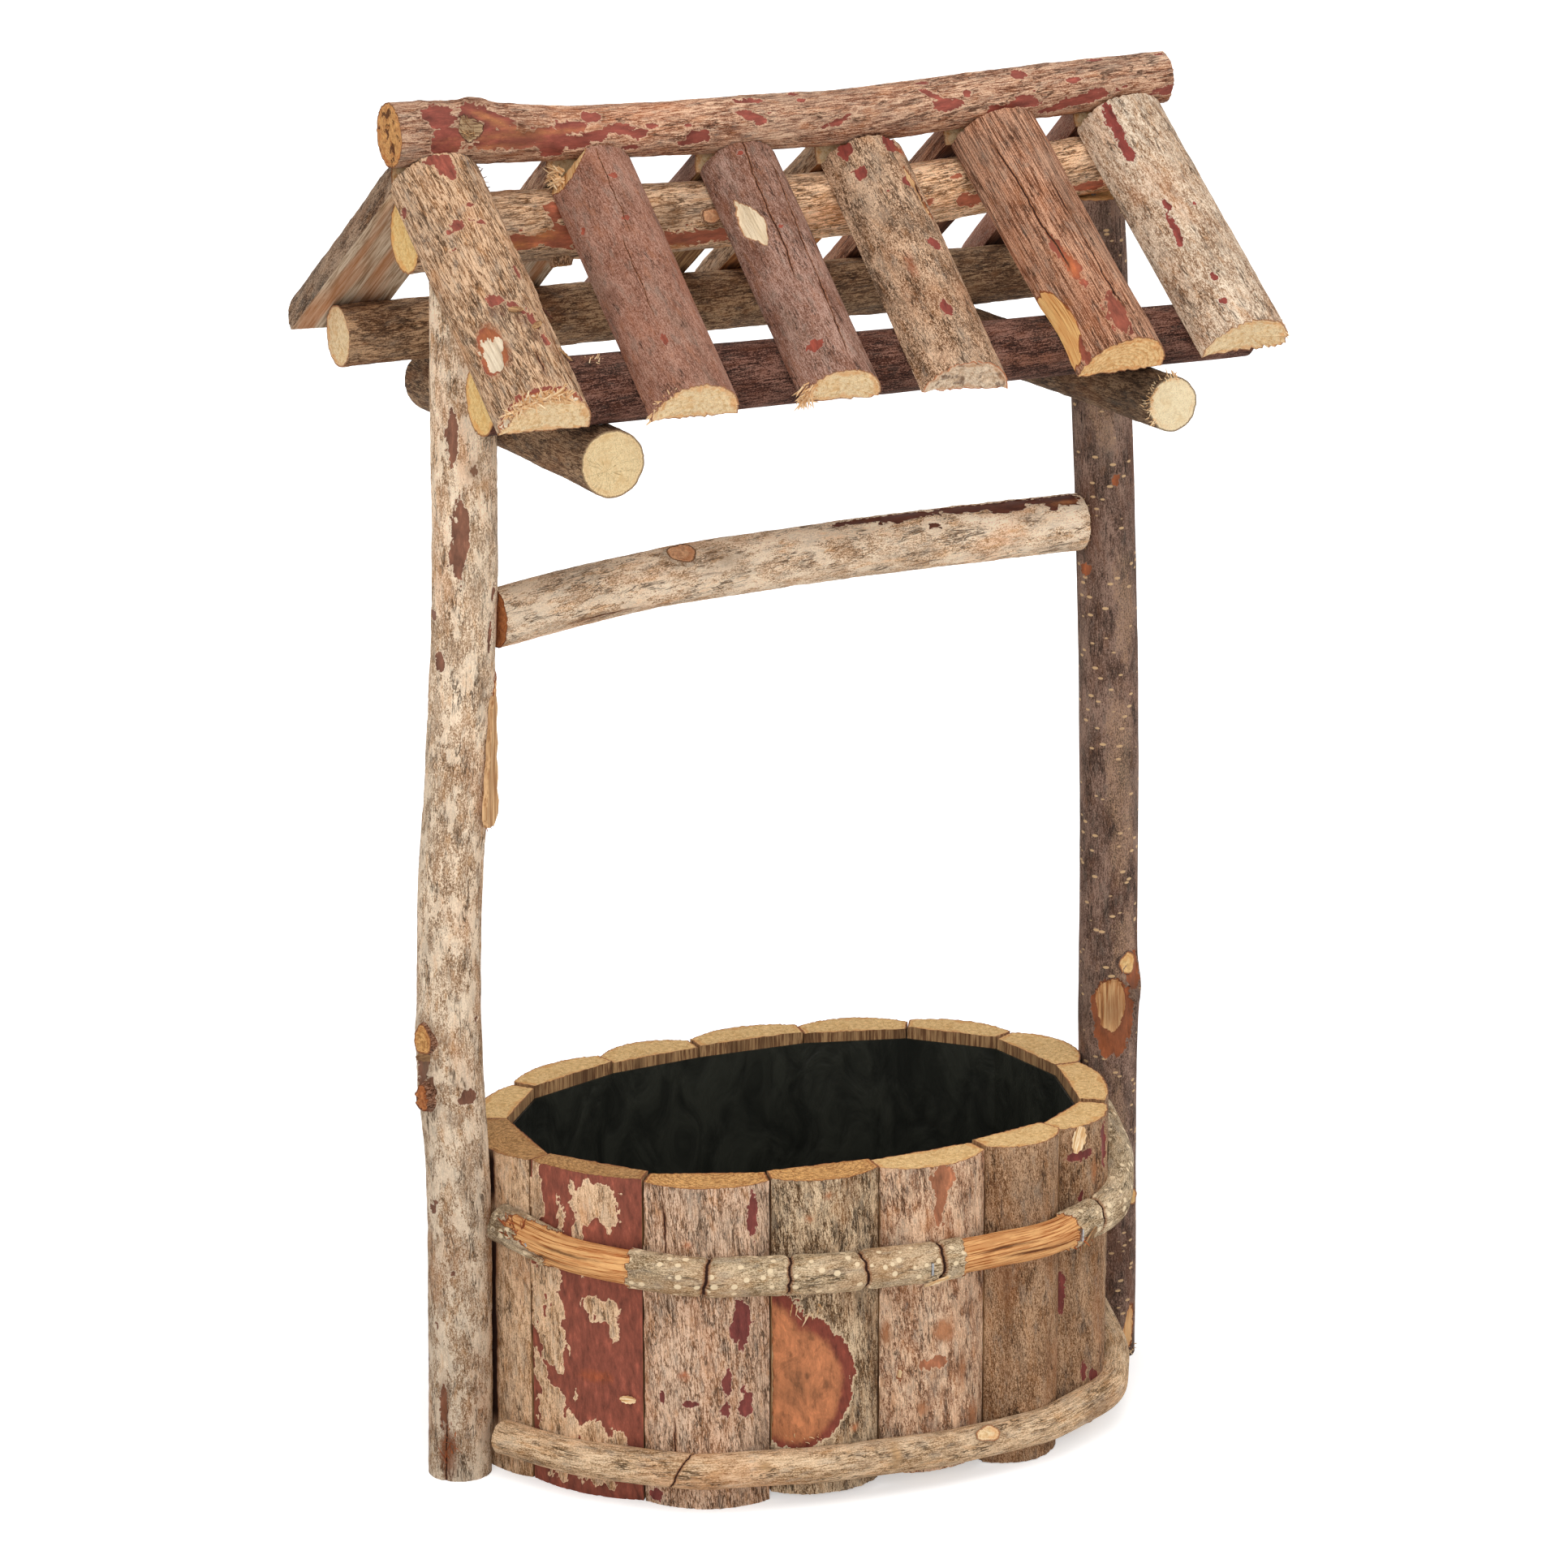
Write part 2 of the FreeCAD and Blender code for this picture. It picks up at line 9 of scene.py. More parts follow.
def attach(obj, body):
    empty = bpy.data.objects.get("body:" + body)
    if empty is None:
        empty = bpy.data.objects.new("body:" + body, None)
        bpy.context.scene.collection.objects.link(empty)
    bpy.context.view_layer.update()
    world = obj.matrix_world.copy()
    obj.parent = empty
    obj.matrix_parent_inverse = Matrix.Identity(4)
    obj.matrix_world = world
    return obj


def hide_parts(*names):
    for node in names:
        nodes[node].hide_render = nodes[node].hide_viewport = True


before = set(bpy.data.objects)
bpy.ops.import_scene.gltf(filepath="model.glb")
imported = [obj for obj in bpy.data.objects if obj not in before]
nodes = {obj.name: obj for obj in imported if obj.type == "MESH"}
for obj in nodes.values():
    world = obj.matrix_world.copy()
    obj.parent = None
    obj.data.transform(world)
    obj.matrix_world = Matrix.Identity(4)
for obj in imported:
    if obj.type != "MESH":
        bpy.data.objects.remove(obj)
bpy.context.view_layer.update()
mm = 0.001
fullTurn = 2 * math.pi
print("frame loaded:", len(nodes), "nodes")


# noise on plain number arrays, for bark in real relief

def latticeValue(x, y, z, seed):
    n = x * 374761393 + y * 668265263 + z * 1440662683 + seed * 1274126177
    n = ((n ^ (n >> 13)) * 1274126177) & 0xffffffff
    n = n ^ (n >> 16)
    return (n & 0xffff) / 32767.5 - 1


def noise(points, seed):
    cell = np.floor(points)
    part = points - cell
    part = part ** 3 * (part * (part * 6 - 15) + 10)
    x, y, z = cell.astype(np.int64).T
    total = np.zeros(len(points))
    for dx in (0, 1):
        for dy in (0, 1):
            for dz in (0, 1):
                weight = (np.abs(1 - dx - part[:, 0]) * np.abs(1 - dy - part[:, 1])
                          * np.abs(1 - dz - part[:, 2]))
                total += weight * latticeValue(x + dx, y + dy, z + dz, seed)
    return total


def layers(points, seed, count=4, fade=0.55):
    total, size, amount, full = 0, 1.0, 1.0, 0.0
    for layer in range(count):
        total = total + amount * noise(points * size, seed + 31 * layer)
        full += amount
        size *= 2.07
        amount *= fade
    return total / full


def woodNoise(grain, across, along, seed, count):
    # spots of this many millimetres across and along the grain
    return layers(grain / (across, across, along), seed, count)


def smoothStep(low, high, value):
    part = np.clip((value - low) / (high - low), 0, 1)
    return part * part * (3 - 2 * part)


# blanks: the plain form of each piece, read from its CAD node, in millimetres

def blankFrom(stations, centres, across, out, outline, around, period, region=None):
    # a direction or outline that is the same all along is repeated for each station
    count = len(stations)
    if across.ndim == 1:
        across, out = np.tile(across, (count, 1)), np.tile(out, (count, 1))
    if outline.ndim == 2:
        outline = np.tile(outline, (count, 1, 1))
    if region is None:
        region = np.zeros(outline.shape[1], int)
    return dict(stations=stations, centres=centres, across=across, out=out, outline=outline, around=around,
                period=period, region=region)


def cadPoints(node):
    mesh = nodes[node].data
    points = np.zeros(len(mesh.vertices) * 3)
    mesh.vertices.foreach_get("co", points)
    return points.reshape(-1, 3) / mm


def unit(vector):
    return vector / np.linalg.norm(vector)


def smoothCurve(places, values, wanted):
    # smooth line through the values, with slopes taken from the neighbours
    slopes = np.gradient(values, places, axis=0)
    k = np.clip(np.searchsorted(places, wanted) - 1, 0, len(places) - 2)
    run = (places[k + 1] - places[k])[:, None]
    u = (wanted - places[k])[:, None] / run
    return ((1 + 2 * u) * (1 - u) ** 2 * values[k] + u * u * (3 - 2 * u) * values[k + 1]
            + run * (u * (1 - u) ** 2 * slopes[k] - u * u * (1 - u) * slopes[k + 1]))


def roundLog(node, along, out, askew=False, aroundCount=84, step=1.4, ringLeast=12):
    points = cadPoints(node)
    along, out = np.array(along, float), np.array(out, float)
    if askew:  # the true axis runs from one end ring's middle to the other's
        place = points @ along
        along = unit(points[place > place.max() - 2].mean(axis=0) - points[place < place.min() + 2].mean(axis=0))
        out = unit(out - along * (out @ along))
    across = np.cross(out, along)
    rings = {}
    for k, s in enumerate(points @ along):
        rings.setdefault(round(s, 1), []).append(k)
    found = []
    for s in sorted(rings):
        ring = points[rings[s]]
        if len(ring) >= ringLeast:
            a, b = ring @ across, ring @ out
            found.append((s, (a.max() + a.min()) / 2, (b.max() + b.min()) / 2, (np.ptp(a) + np.ptp(b)) / 4))
    found = np.array(found)
    stations = np.linspace(found[0, 0], found[-1, 0], int((found[-1, 0] - found[0, 0]) / step))
    line = smoothCurve(found[:, 0], found[:, 1:], stations)
    centres = stations[:, None] * along + line[:, :1] * across + line[:, 1:2] * out
    turn = np.linspace(0, fullTurn, aroundCount, endpoint=False)
    outline = line[:, 2][:, None, None] * np.stack([np.cos(turn), np.sin(turn)], axis=1)
    radius = line[:, 2].mean()
    return blankFrom(stations - stations[0], centres, across, out, outline, radius * turn, radius * fullTurn)


def arcThrough(start, top, end, count):
    (ax, ay), (bx, by), (cx, cy) = start, top, end
    d = 2 * (ax * (by - cy) + bx * (cy - ay) + cx * (ay - by))
    aa, bb, cc = ax * ax + ay * ay, bx * bx + by * by, cx * cx + cy * cy
    ux = (aa * (by - cy) + bb * (cy - ay) + cc * (ay - by)) / d
    uy = (aa * (cx - bx) + bb * (ax - cx) + cc * (bx - ax)) / d
    first, last = math.atan2(ay - uy, ax - ux), math.atan2(cy - uy, cx - ux)
    turn = np.linspace(first, last + (fullTurn if last < first else 0), count)
    radius = math.hypot(ax - ux, ay - uy)
    return np.stack([ux + radius * np.cos(turn), uy + radius * np.sin(turn)], axis=1)


def straightRun(start, end, step):
    return np.linspace(start, end, max(2, int(round(math.dist(start, end) / step)) + 1))


def splitSection(half, sideLeft, sideRight, crown, step, sideLeast=2):
    # flat side, right side, bark and left side of a split log, joined up; and arc lengths from the crown's
    # middle, plus towards the across direction
    flatLeft, flatRight = (-half, 0.0), (half, 0.0)
    pieces = [(1, straightRun(flatLeft, flatRight, step * 1.6))]
    if math.dist(flatRight, sideRight) > sideLeast:
        pieces.append((2, straightRun(flatRight, sideRight, step)))
    barkLength = math.dist(sideRight, crown) + math.dist(crown, sideLeft)
    pieces.append((0, arcThrough(sideRight, crown, sideLeft, int(barkLength * 1.1 / step))))
    if math.dist(flatLeft, sideLeft) > sideLeast:
        pieces.append((2, straightRun(sideLeft, flatLeft, step)))
    outline = np.concatenate([line[:-1] for kind, line in pieces])
    region = np.concatenate([np.full(len(line) - 1, kind) for kind, line in pieces])
    lengths = np.linalg.norm(np.roll(outline, -1, 0) - outline, axis=1)
    reach = np.concatenate([[0], np.cumsum(lengths)[:-1]])
    around = reach[np.argmax(outline[:, 1])] - reach
    full = lengths.sum()
    return outline, (around + full / 2) % full - full / 2, full, region


def splitLog(node, downward, step=1.0, alongStep=1.4, sideLeast=4):
    points = np.unique(np.round(cadPoints(node), 3), axis=0)
    order = np.argsort(points[:, 2])
    lower, upper = points[order[:len(order) // 2]], points[order[len(order) // 2:]]
    start, far = (upper, lower) if downward else (lower, upper)
    middle = start.mean(axis=0)
    along = unit(far.mean(axis=0) - middle)
    seed = unit(np.cross(along, (0.3, 0.5, 0.2)))
    rough = start - middle
    ring = start[np.argsort(np.arctan2(rough @ np.cross(along, seed), rough @ seed))]
    edges = np.roll(ring, -1, 0) - ring
    flat = np.argmax(np.linalg.norm(edges, axis=1))
    flatMiddle = ring[flat] + edges[flat] / 2
    across = unit(edges[flat])
    out = middle - flatMiddle
    out = unit(out - (across * (out @ across) + along * (out @ along)))
    across = np.cross(out, along)
    a, b = (ring - flatMiddle) @ across, (ring - flatMiddle) @ out
    half = np.linalg.norm(edges[flat]) / 2
    left, right = np.argmin(a), np.argmax(a)
    sides = [(a[left], b[left]), (a[right], b[right])]
    if sides[0][1] < sideLeast:
        sides = [(-half, 0.0), (half, 0.0)]
    crown = ((sides[0][0] + sides[1][0]) / 2, b.max())
    length = (far.mean(axis=0) - start.mean(axis=0)) @ along
    stations = np.linspace(0, length, int(length / alongStep))
    centres = flatMiddle + stations[:, None] * along
    return blankFrom(stations, centres, across, out, *splitSection(half, *sides, crown, step))


def easedPath(path, reach):
    # the path with its corners eased; both ends stay where they are
    before = path[:1] - np.arange(reach, 0, -1)[:, None] * (path[1] - path[0])
    after = path[-1:] + np.arange(1, reach + 1)[:, None] * (path[-1] - path[-2])
    padded = np.concatenate([before, path, after])
    weights = np.hanning(2 * reach + 3)[1:-1]
    weights /= weights.sum()
    return np.stack([np.convolve(padded[:, k], weights, "valid") for k in range(3)], axis=1)


def bentHoop(node, step=1.2, lookStep=1.5, levelStep=0.4, hitsLeast=20, ease=8, away=400):
    # the hoop's inner line, found by looking outward from the ring's middle
    mesh = nodes[node].data
    tree = BVHTree.FromPolygons([v.co / mm for v in mesh.vertices], [p.vertices[:] for p in mesh.polygons])
    points = cadPoints(node)
    side = 1 if points[:, 1].mean() > 0 else -1
    heights = np.arange(points[:, 2].min(), points[:, 2].max(), levelStep)
    line = []
    for turn in np.radians(np.arange(0, 180.1, lookStep)):
        aim = Vector((-math.cos(turn), side * math.sin(turn), 0))
        rays = [(tree.ray_cast(Vector((0, 0, z)), aim)[3], z) for z in heights]
        hits = [(distance, z) for distance, z in rays if distance is not None]
        if len(hits) > hitsLeast:
            reach, low, high = min(hits)[0], hits[0][1], hits[-1][1]
            line.append((aim.x * reach, aim.y * reach, (low + high) / 2, high - low))
    line = np.array(line)
    spans = np.concatenate([[0], np.cumsum(np.linalg.norm(np.diff(line[:, :3], axis=0), axis=1))])
    stations = np.linspace(0, spans[-1], int(spans[-1] / step))
    path = easedPath(np.stack([np.interp(stations, spans, line[:, k]) for k in range(3)], axis=1), ease)
    tangent = np.gradient(path, axis=0)
    tangent /= np.linalg.norm(tangent, axis=1)[:, None]
    out = np.cross(tangent, (0, 0, -side))
    out /= np.linalg.norm(out, axis=1)[:, None]
    middle = path[len(path) // 2]
    far = tree.ray_cast(Vector((middle[0], side * away, middle[2])), Vector((0, -side, 0)))[3]
    half = np.median(line[:, 3]) / 2
    crown = (0.0, away - far - abs(middle[1]))
    section = splitSection(half, (-half, 0.0), (half, 0.0), crown, step * 0.8)
    return blankFrom(stations, path, np.cross(out, tangent), out, *section)


# bark, knots, peeled patches and cracks in relief

reliefs = {  # millimetres: size across and along the grain and depth, coarse then fine, and the height of lumps
    "fissured": (2.4, 13, 0.62, 1.2, 4, 0.2, 0.5),
    "mottled": (3.2, 8, 0.32, 1.3, 3, 0.16, 0.45),
    "smooth": (5.5, 30, 0.16, 1.6, 9, 0.06, 0.4),
    "fibrous": (2.0, 40, 0.6, 1.1, 12, 0.15, 0.4),
}
carving = SimpleNamespace(  # sizes across and along the grain, depths and heights in millimetres
    lumps=(22, 55), fibres=(1.6, 60), fibreDepth=0.3, sawn=(4, 26), sawnDepth=0.18, peelDepth=0.5, bareDepth=0.9,
    edge=(-0.3, 0.4), worn=0.75, lip=0.22, lipWidth=0.6, crackDepth=0.8, crackWidth=0.75, knotStretch=1.25,
    hollow=0.45, hollowShare=2.6, ripple=0.25, ripples=9)
# values far from every patch and crack, as on sawn ends
resting = {"peel": -12.0, "bare": -12.0, "glow": -12.0, "stain": -12.0, "crack": 9.0, "level": 1.0}


def offsetsFrom(blank, s, around, share, turn):
    # millimetres along and across from a place on the bark, which is given in degrees on a round log and in
    # millimetres from the crown on a split one
    period = blank["period"]
    across = around - (turn if blank["region"].any() else math.radians(turn) * period / fullTurn)
    return s - share * blank["stations"][-1], (across + period / 2) % period - period / 2


def patchField(ground, patches, seed, ragged, reach=0.32, power=2):
    # millimetres inside (plus) or outside (minus) the edge of the nearest patch
    blank, s, around, grain = ground
    field = np.full(s.shape, resting["peel"])
    wander = ragged * layers(grain * (reach, reach, reach * 0.6), seed, 4, 0.7) if patches else 0
    for share, turn, halfLength, halfWidth, *tilt in patches:
        lengthways, sideways = offsetsFrom(blank, s, around, share, turn)
        if tilt:
            sideways = sideways - lengthways * math.tan(math.radians(tilt[0]))
        off = (np.abs(lengthways / halfLength) ** power + np.abs(sideways / halfWidth) ** power) ** (1 / power)
        small = min(halfLength, halfWidth)
        field = np.maximum(field, (1 - off) * small + wander * min(1, max(0.3, small / 4)))
    return field


def crackField(ground, look):
    # signed millimetres to the nearest crack, and how open it is there
    blank, s, around, grain = ground
    length = blank["stations"][-1]
    still = s * 0
    nearest, open_ = still + resting["crack"], still
    lines = []
    for start, end, turn, *lean in look.get("splits", []):
        wave = (0.8 * noise(np.stack([s / 20, still, still + turn], axis=1), 5)
                + 0.3 * noise(np.stack([s / 3, still, still + turn], axis=1), 8))
        off = offsetsFrom(blank, s, around, 0, turn)[1] - wave - (lean[0] if lean else 0) * (s / length - start)
        opening = smoothStep(start - 0.01, start + 0.06, s / length)
        lines.append((off, opening * (1 - smoothStep(end - 0.08, end + 0.01, s / length))))
    for share, lean in look.get("breaks", []):
        wave = 0.8 * noise(np.stack([around / 3, still, still + share * 50], axis=1), 6)
        lines.append((s - share * length - around * lean - wave, still + 1))
    for off, opening in lines:
        closer = (np.abs(off) < np.abs(nearest)) & (opening > 0.02)
        nearest = np.where(closer, off, nearest)
        open_ = np.where(closer, opening * (1 - smoothStep(2.5, 4.0, np.abs(off))), open_)
    return nearest, open_


def barkForm(blank, look):
    across, along, depth, fineAcross, fineAlong, fineDepth, lumps = reliefs[look.get("relief", "mottled")]
    seed, outline, length = look["seed"], blank["outline"], blank["stations"][-1]
    rows, columns = outline.shape[:2]
    s, around = np.repeat(blank["stations"], columns), np.tile(blank["around"], rows)
    turned = s * look.get("twist", 0.004)
    flatX, flatY = outline.reshape(-1, 2).T
    x = flatX * np.cos(turned) - flatY * np.sin(turned)
    y = flatX * np.sin(turned) + flatY * np.cos(turned)
    grain = np.stack([x, y, s + seed * 211.0], axis=1)
    ground = (blank, s, around, grain)
    tangent = np.roll(outline, -1, 1) - np.roll(outline, 1, 1)
    normal = np.stack([tangent[..., 1], -tangent[..., 0]], axis=-1).reshape(-1, 2)
    normal /= np.linalg.norm(normal, axis=1)[:, None]
    coarse = woodNoise(grain, across, along, seed, 3)
    fine = woodNoise(grain, fineAcross, fineAlong, seed + 7, 2)
    broad = woodNoise(grain, *carving.lumps, seed + 13, 2)
    height = coarse * depth + fine * fineDepth + broad * look.get("lumps", lumps)
    # the level along the piece from its shades: partly its own tone, partly painted light and shade
    shares, levels = zip(*look.get("shades", [(0, 1), (1, 1)]))
    fields = {"tone": coarse * 0.6 + fine * 0.4, "knot": s * 0, "level": np.interp(s / length, shares, levels)}
    for share, turn, radius, rise in look.get("knots", []):  # swollen, with a hollow and ripples in the middle
        lengthways, sideways = offsetsFrom(blank, s, around, share, turn)
        d = np.hypot(lengthways / carving.knotStretch, sideways) / radius
        hollow = carving.hollow * np.exp(-(d * carving.hollowShare) ** 2)
        ripples = carving.ripple * np.cos(d * carving.ripples)
        height += rise * (np.exp(-d * d) - hollow) + ripples * np.exp(-d * d * 1.2)
        fields["knot"] = np.maximum(fields["knot"], np.exp(-(d * 1.3) ** 2))
    peel = patchField(ground, look.get("peels", []), seed + 40, look.get("ragged", 4.6))
    bare = patchField(ground, look.get("bares", []), seed + 60, look.get("bareRagged", 1.8),
                      power=look.get("barePower", 2))
    fields["glow"] = patchField(ground, look.get("glows", []), seed + 70, 2.0, 0.2)
    fields["stain"] = patchField(ground, look.get("stains", []), seed + 75, 3.0, 0.4)
    if "crusts" in look:  # bark left standing inside a peeled place
        peel = np.minimum(peel, -patchField(ground, look["crusts"], seed + 77, 7.0, 0.22))
    peeled, stripped = smoothStep(*carving.edge, peel), smoothStep(*carving.edge, bare)
    height = height * (1 - carving.worn * np.maximum(peeled, stripped))
    lip = carving.lip * np.exp(-(np.maximum(peel, bare) / carving.lipWidth + 1) ** 2)
    height += lip - carving.peelDepth * peeled
    height -= look.get("bareDepth", carving.bareDepth) * stripped
    height += stripped * carving.fibreDepth * woodNoise(grain, *carving.fibres, seed + 85, 2)
    crack, open_ = crackField(ground, look)
    onBark = np.tile(blank["region"], rows) == 0
    groove = np.exp(-(crack / (carving.crackWidth * look.get("crackWidth", 1.0))) ** 2)
    height -= look.get("crackDepth", carving.crackDepth) * open_ * groove * onBark
    sawn = woodNoise(grain, *carving.sawn, seed + 90, 3) * carving.sawnDepth
    fields.update(crack=crack, open=open_, peel=peel, bare=bare)
    return grain, normal, np.where(onBark, height, sawn), fields


def placeOn(blank, share, turn):
    # the spot on the plain form, with its outward, lengthways and sideways directions
    row = int(round(share * (len(blank["stations"]) - 1)))
    column = np.argmin(np.abs(offsetsFrom(blank, 0, blank["around"], 0, turn)[1]))
    outline = blank["outline"][row]
    tangent = outline[(column + 1) % len(outline)] - outline[column - 1]
    normal = np.array([tangent[1], -tangent[0]]) / np.hypot(*tangent)
    across, out = blank["across"][row], blank["out"][row]
    spot = blank["centres"][row] + across * outline[column, 0] + out * outline[column, 1]
    outward = across * normal[0] + out * normal[1]
    lengthways = np.cross(across, out)
    return spot, outward, lengthways, np.cross(outward, lengthways)


def sliceFlat(blank, look, points, fields):
    # flat or scooped facets cut off the bark; what lies past the cut moves back onto it
    for share, turn, depth, lean, sway, *reach in look.get("slices", []):
        spot, outward, lengthways, sideways = placeOn(blank, share, turn)
        facing = unit(outward + lengthways * lean + sideways * sway)
        past = (points - (spot - outward * depth)) @ facing
        if reach:  # a scooped cut that runs out at this many millimetres each way
            past = past - depth * (((points - spot) @ lengthways) / reach[0]) ** 2
        fields["bare"] = np.maximum(fields["bare"], past * 1.5)
        points -= np.clip(past, 0, None)[:, None] * facing


def endRows(look, rim, grainRim, along, seed, count=7):
    # rows of a sawn end, from its rim to its middle, with saw marks and holes
    middle, grainMiddle = rim.mean(axis=0), grainRim.mean(axis=0)
    reach = np.linalg.norm(rim - middle, axis=1)
    for share in (np.arange(count) / count)[1:] ** 0.8:
        grain = grainRim + (grainMiddle - grainRim) * share
        rough = layers(grain * (0.55, 0.55, 0), seed, 3) * 0.35 + noise(grain * (1.4, 1.4, 0), seed + 3) * 0.12
        for x, y, radius in look.get("endHoles", []):
            rough -= 1.2 * np.exp(-((grain[:, 0] - x) ** 2 + (grain[:, 1] - y) ** 2) / radius ** 2)
        yield rim + (middle - rim) * share + rough[:, None] * along, grain, reach * share
    yield middle[None], grainMiddle[None], reach.mean()[None]


def meshFrom(name, points, faces, grains, sharp=None):
    # flat faces, or smooth ones with edges sharp from this many degrees
    mesh = bpy.data.meshes.new(name)
    mesh.from_pydata((np.array(points) * mm).tolist(), [], faces)
    flat = np.array(grains, np.float32).ravel()
    mesh.attributes.new("grain", "FLOAT_VECTOR", "POINT").data.foreach_set("vector", flat)
    if sharp:
        mesh.polygons.foreach_set("use_smooth", np.ones(len(mesh.polygons), bool))
        mesh.set_sharp_from_angle(angle=math.radians(sharp))
    mesh.update()
    return mesh


def makeMesh(name, blank, look):
    rows, columns = blank["outline"].shape[:2]
    grain, normal, height, fields = barkForm(blank, look)
    section = blank["outline"].reshape(-1, 2) + normal * height[:, None]
    row = np.repeat(np.arange(rows), columns)
    points = blank["centres"][row] + blank["across"][row] * section[:, :1] + blank["out"][row] * section[:, 1:2]
    sliceFlat(blank, look, points, fields)
    first, j = np.arange(rows - 1)[:, None] * columns, np.arange(columns)
    following = (j + 1) % columns
    corners = (first + j, first + following, first + columns + following, first + columns + j)
    quads, fans = [np.stack(corners, axis=-1).reshape(-1, 4)], []
    verts, grains, rims = [points], [grain], [np.zeros(len(points))]
    total = len(points)
    tears = look.get("torn", (0.25, 0.25))
    for k, far in ((0, False), (rows - 1, True)):
        edge = slice(k * columns, (k + 1) * columns)
        along = np.cross(blank["across"][k], blank["out"][k]) * (1 if far else -1)
        wave = noise(grain[edge] * (0.9, 0.9, 0) + (0, 0, k * 3.1), look["seed"] + 5)
        wave = wave + 0.6 * noise(grain[edge] * (2.3, 2.3, 0) + (0, 0, k * 1.7), look["seed"] + 6)
        points[edge] += along * (tears[far] * wave)[:, None]
        previous = k * columns + j
        for end in endRows(look, points[edge], grain[edge], along, look["seed"] + (500 if far else 300)):
            for found, new in zip((verts, grains, rims), end):
                found.append(new)
            if len(end[0]) > 1:
                ring = total + j
                quad = np.stack([previous, previous[following], ring[following], ring], axis=1)
                quads.append(quad if far else quad[:, ::-1])
                previous = ring
            else:
                fan = np.stack([previous, previous[following], np.full(columns, total)], axis=1)
                fans.append(fan if far else fan[:, ::-1])
            total += len(end[0])
    quads, fans = np.concatenate(quads), np.concatenate(fans)
    mesh = meshFrom(name, np.concatenate(verts), quads.tolist() + fans.tolist(), np.concatenate(grains), 58)
    material = np.ones(len(mesh.polygons), np.int32)
    material[:(rows - 1) * columns] = np.tile(np.where(blank["region"] > 0, 2, 0), rows - 1)
    mesh.polygons.foreach_set("material_index", material)
    values = {key: np.append(near, np.full(total - len(near), resting.get(key, 0))) for key, near in fields.items()}
    values["rim"] = np.concatenate(rims)
    for key, value in values.items():
        mesh.attributes.new(key, "FLOAT", "POINT").data.foreach_set("value", value.astype(np.float32))
    return mesh


# materials

def paint(red, green, blue):
    # a colour picked in 0 to 255, as Blender's linear values; one that is too bright keeps its hue
    values = [v / max(255, red, green, blue) for v in (red, green, blue)]
    return tuple(v / 12.92 if v <= 0.04045 else ((v + 0.055) / 1.055) ** 2.4 for v in values) + (1.0,)


def shade(colour, factor):
    return tuple(v * factor for v in colour)


class Recipe:
    # a node tree of a material or of the world, written as a list of steps
    def __init__(self, owner):
        owner.use_nodes = True
        self.owner, self.tree = owner, owner.node_tree
        self.tree.nodes.clear()

    def node(self, kind, inputs, **settings):
        made = self.tree.nodes.new("ShaderNode" + kind)
        for key, value in settings.items():
            setattr(made, key, value)
        for key, value in inputs.items():
            if isinstance(value, bpy.types.NodeSocket):
                self.tree.links.new(value, made.inputs[key])
            else:
                made.inputs[key].default_value = value
        return made

    def attribute(self, name):
        return self.node("Attribute", {}, attribute_name=name).outputs["Vector" if name == "grain" else "Fac"]

    def scaled(self, vector, x, y, z):
        return self.node("VectorMath", {0: vector, 1: (x, y, z)}, operation="MULTIPLY").outputs[0]

    def noise(self, vector, scale, detail, roughness, distortion=0.0):
        return self.node("TexNoise", {"Vector": vector, "Scale": scale, "Detail": detail,
                                      "Roughness": roughness, "Distortion": distortion}).outputs[0]

    def spots(self, across, along, *settings):
        # noise stretched along the grain: scales per millimetre, then detail, roughness and distortion
        return self.noise(self.scaled(self.place, across, across, along), 1, *settings)

    def maths(self, operation, a, b=0.0):
        return self.node("Math", {0: a, 1: b}, operation=operation).outputs[0]

    def add(self, first, *others):
        for other in others:
            first = self.maths("ADD", first, other)
        return first

    def times(self, a, b):
        return self.maths("MULTIPLY", a, b)

    def fold(self, value):
        # how far a noise is from its middle
        return self.maths("ABSOLUTE", self.maths("SUBTRACT", value, 0.5))

    def centred(self, value, amount):
        # a noise value of 0 to 1, moved to swing round zero
        return self.node("Math", {0: value, 1: amount, 2: -0.5 * amount}, operation="MULTIPLY_ADD").outputs[0]

    def between(self, value, low, high, to=(0.0, 1.0)):
        return self.node("MapRange", {0: value, 1: low, 2: high, 3: to[0], 4: to[1]},
                         interpolation_type="SMOOTHSTEP").outputs[0]

    def mix(self, share, a, b, blend="MIX"):
        b = b if isinstance(b, bpy.types.NodeSocket) else paint(*b)
        return self.node("Mix", {0: share, 6: a, 7: b}, data_type="RGBA", blend_type=blend).outputs[2]

    def cover(self, colour, value, none, full, amount, tone):
        # the colour, covered by another as the value goes from none to full
        return self.mix(self.between(value, none, full, (0, amount)), colour, tone)

    def ramp(self, value, stops):
        made = self.node("ValToRGB", {0: value})
        elements = made.color_ramp.elements
        for element, (place, colour) in zip(elements, (stops[0], stops[-1])):
            element.position, element.color = place, paint(*colour)
        for place, colour in stops[1:-1]:
            elements.new(place).color = paint(*colour)
        return made.outputs[0]

    def finish(self, colour, roughness, bump, strength, distance, **gloss):
        normal = self.node("Bump", {"Height": bump, "Strength": strength, "Distance": distance * mm})
        shader = self.node("BsdfPrincipled", {"Base Color": colour, "Roughness": roughness, "Specular IOR Level": 0.15,
                                              "Normal": normal.outputs[0], **gloss})
        self.node("OutputMaterial", {0: shader.outputs[0]})
        return self.owner


def recipeFor(name, inWood=True):
    r = Recipe(bpy.data.materials.new(name))
    r.place = r.attribute("grain") if inWood else r.node("TexCoord", {}).outputs["Object"]
    return r


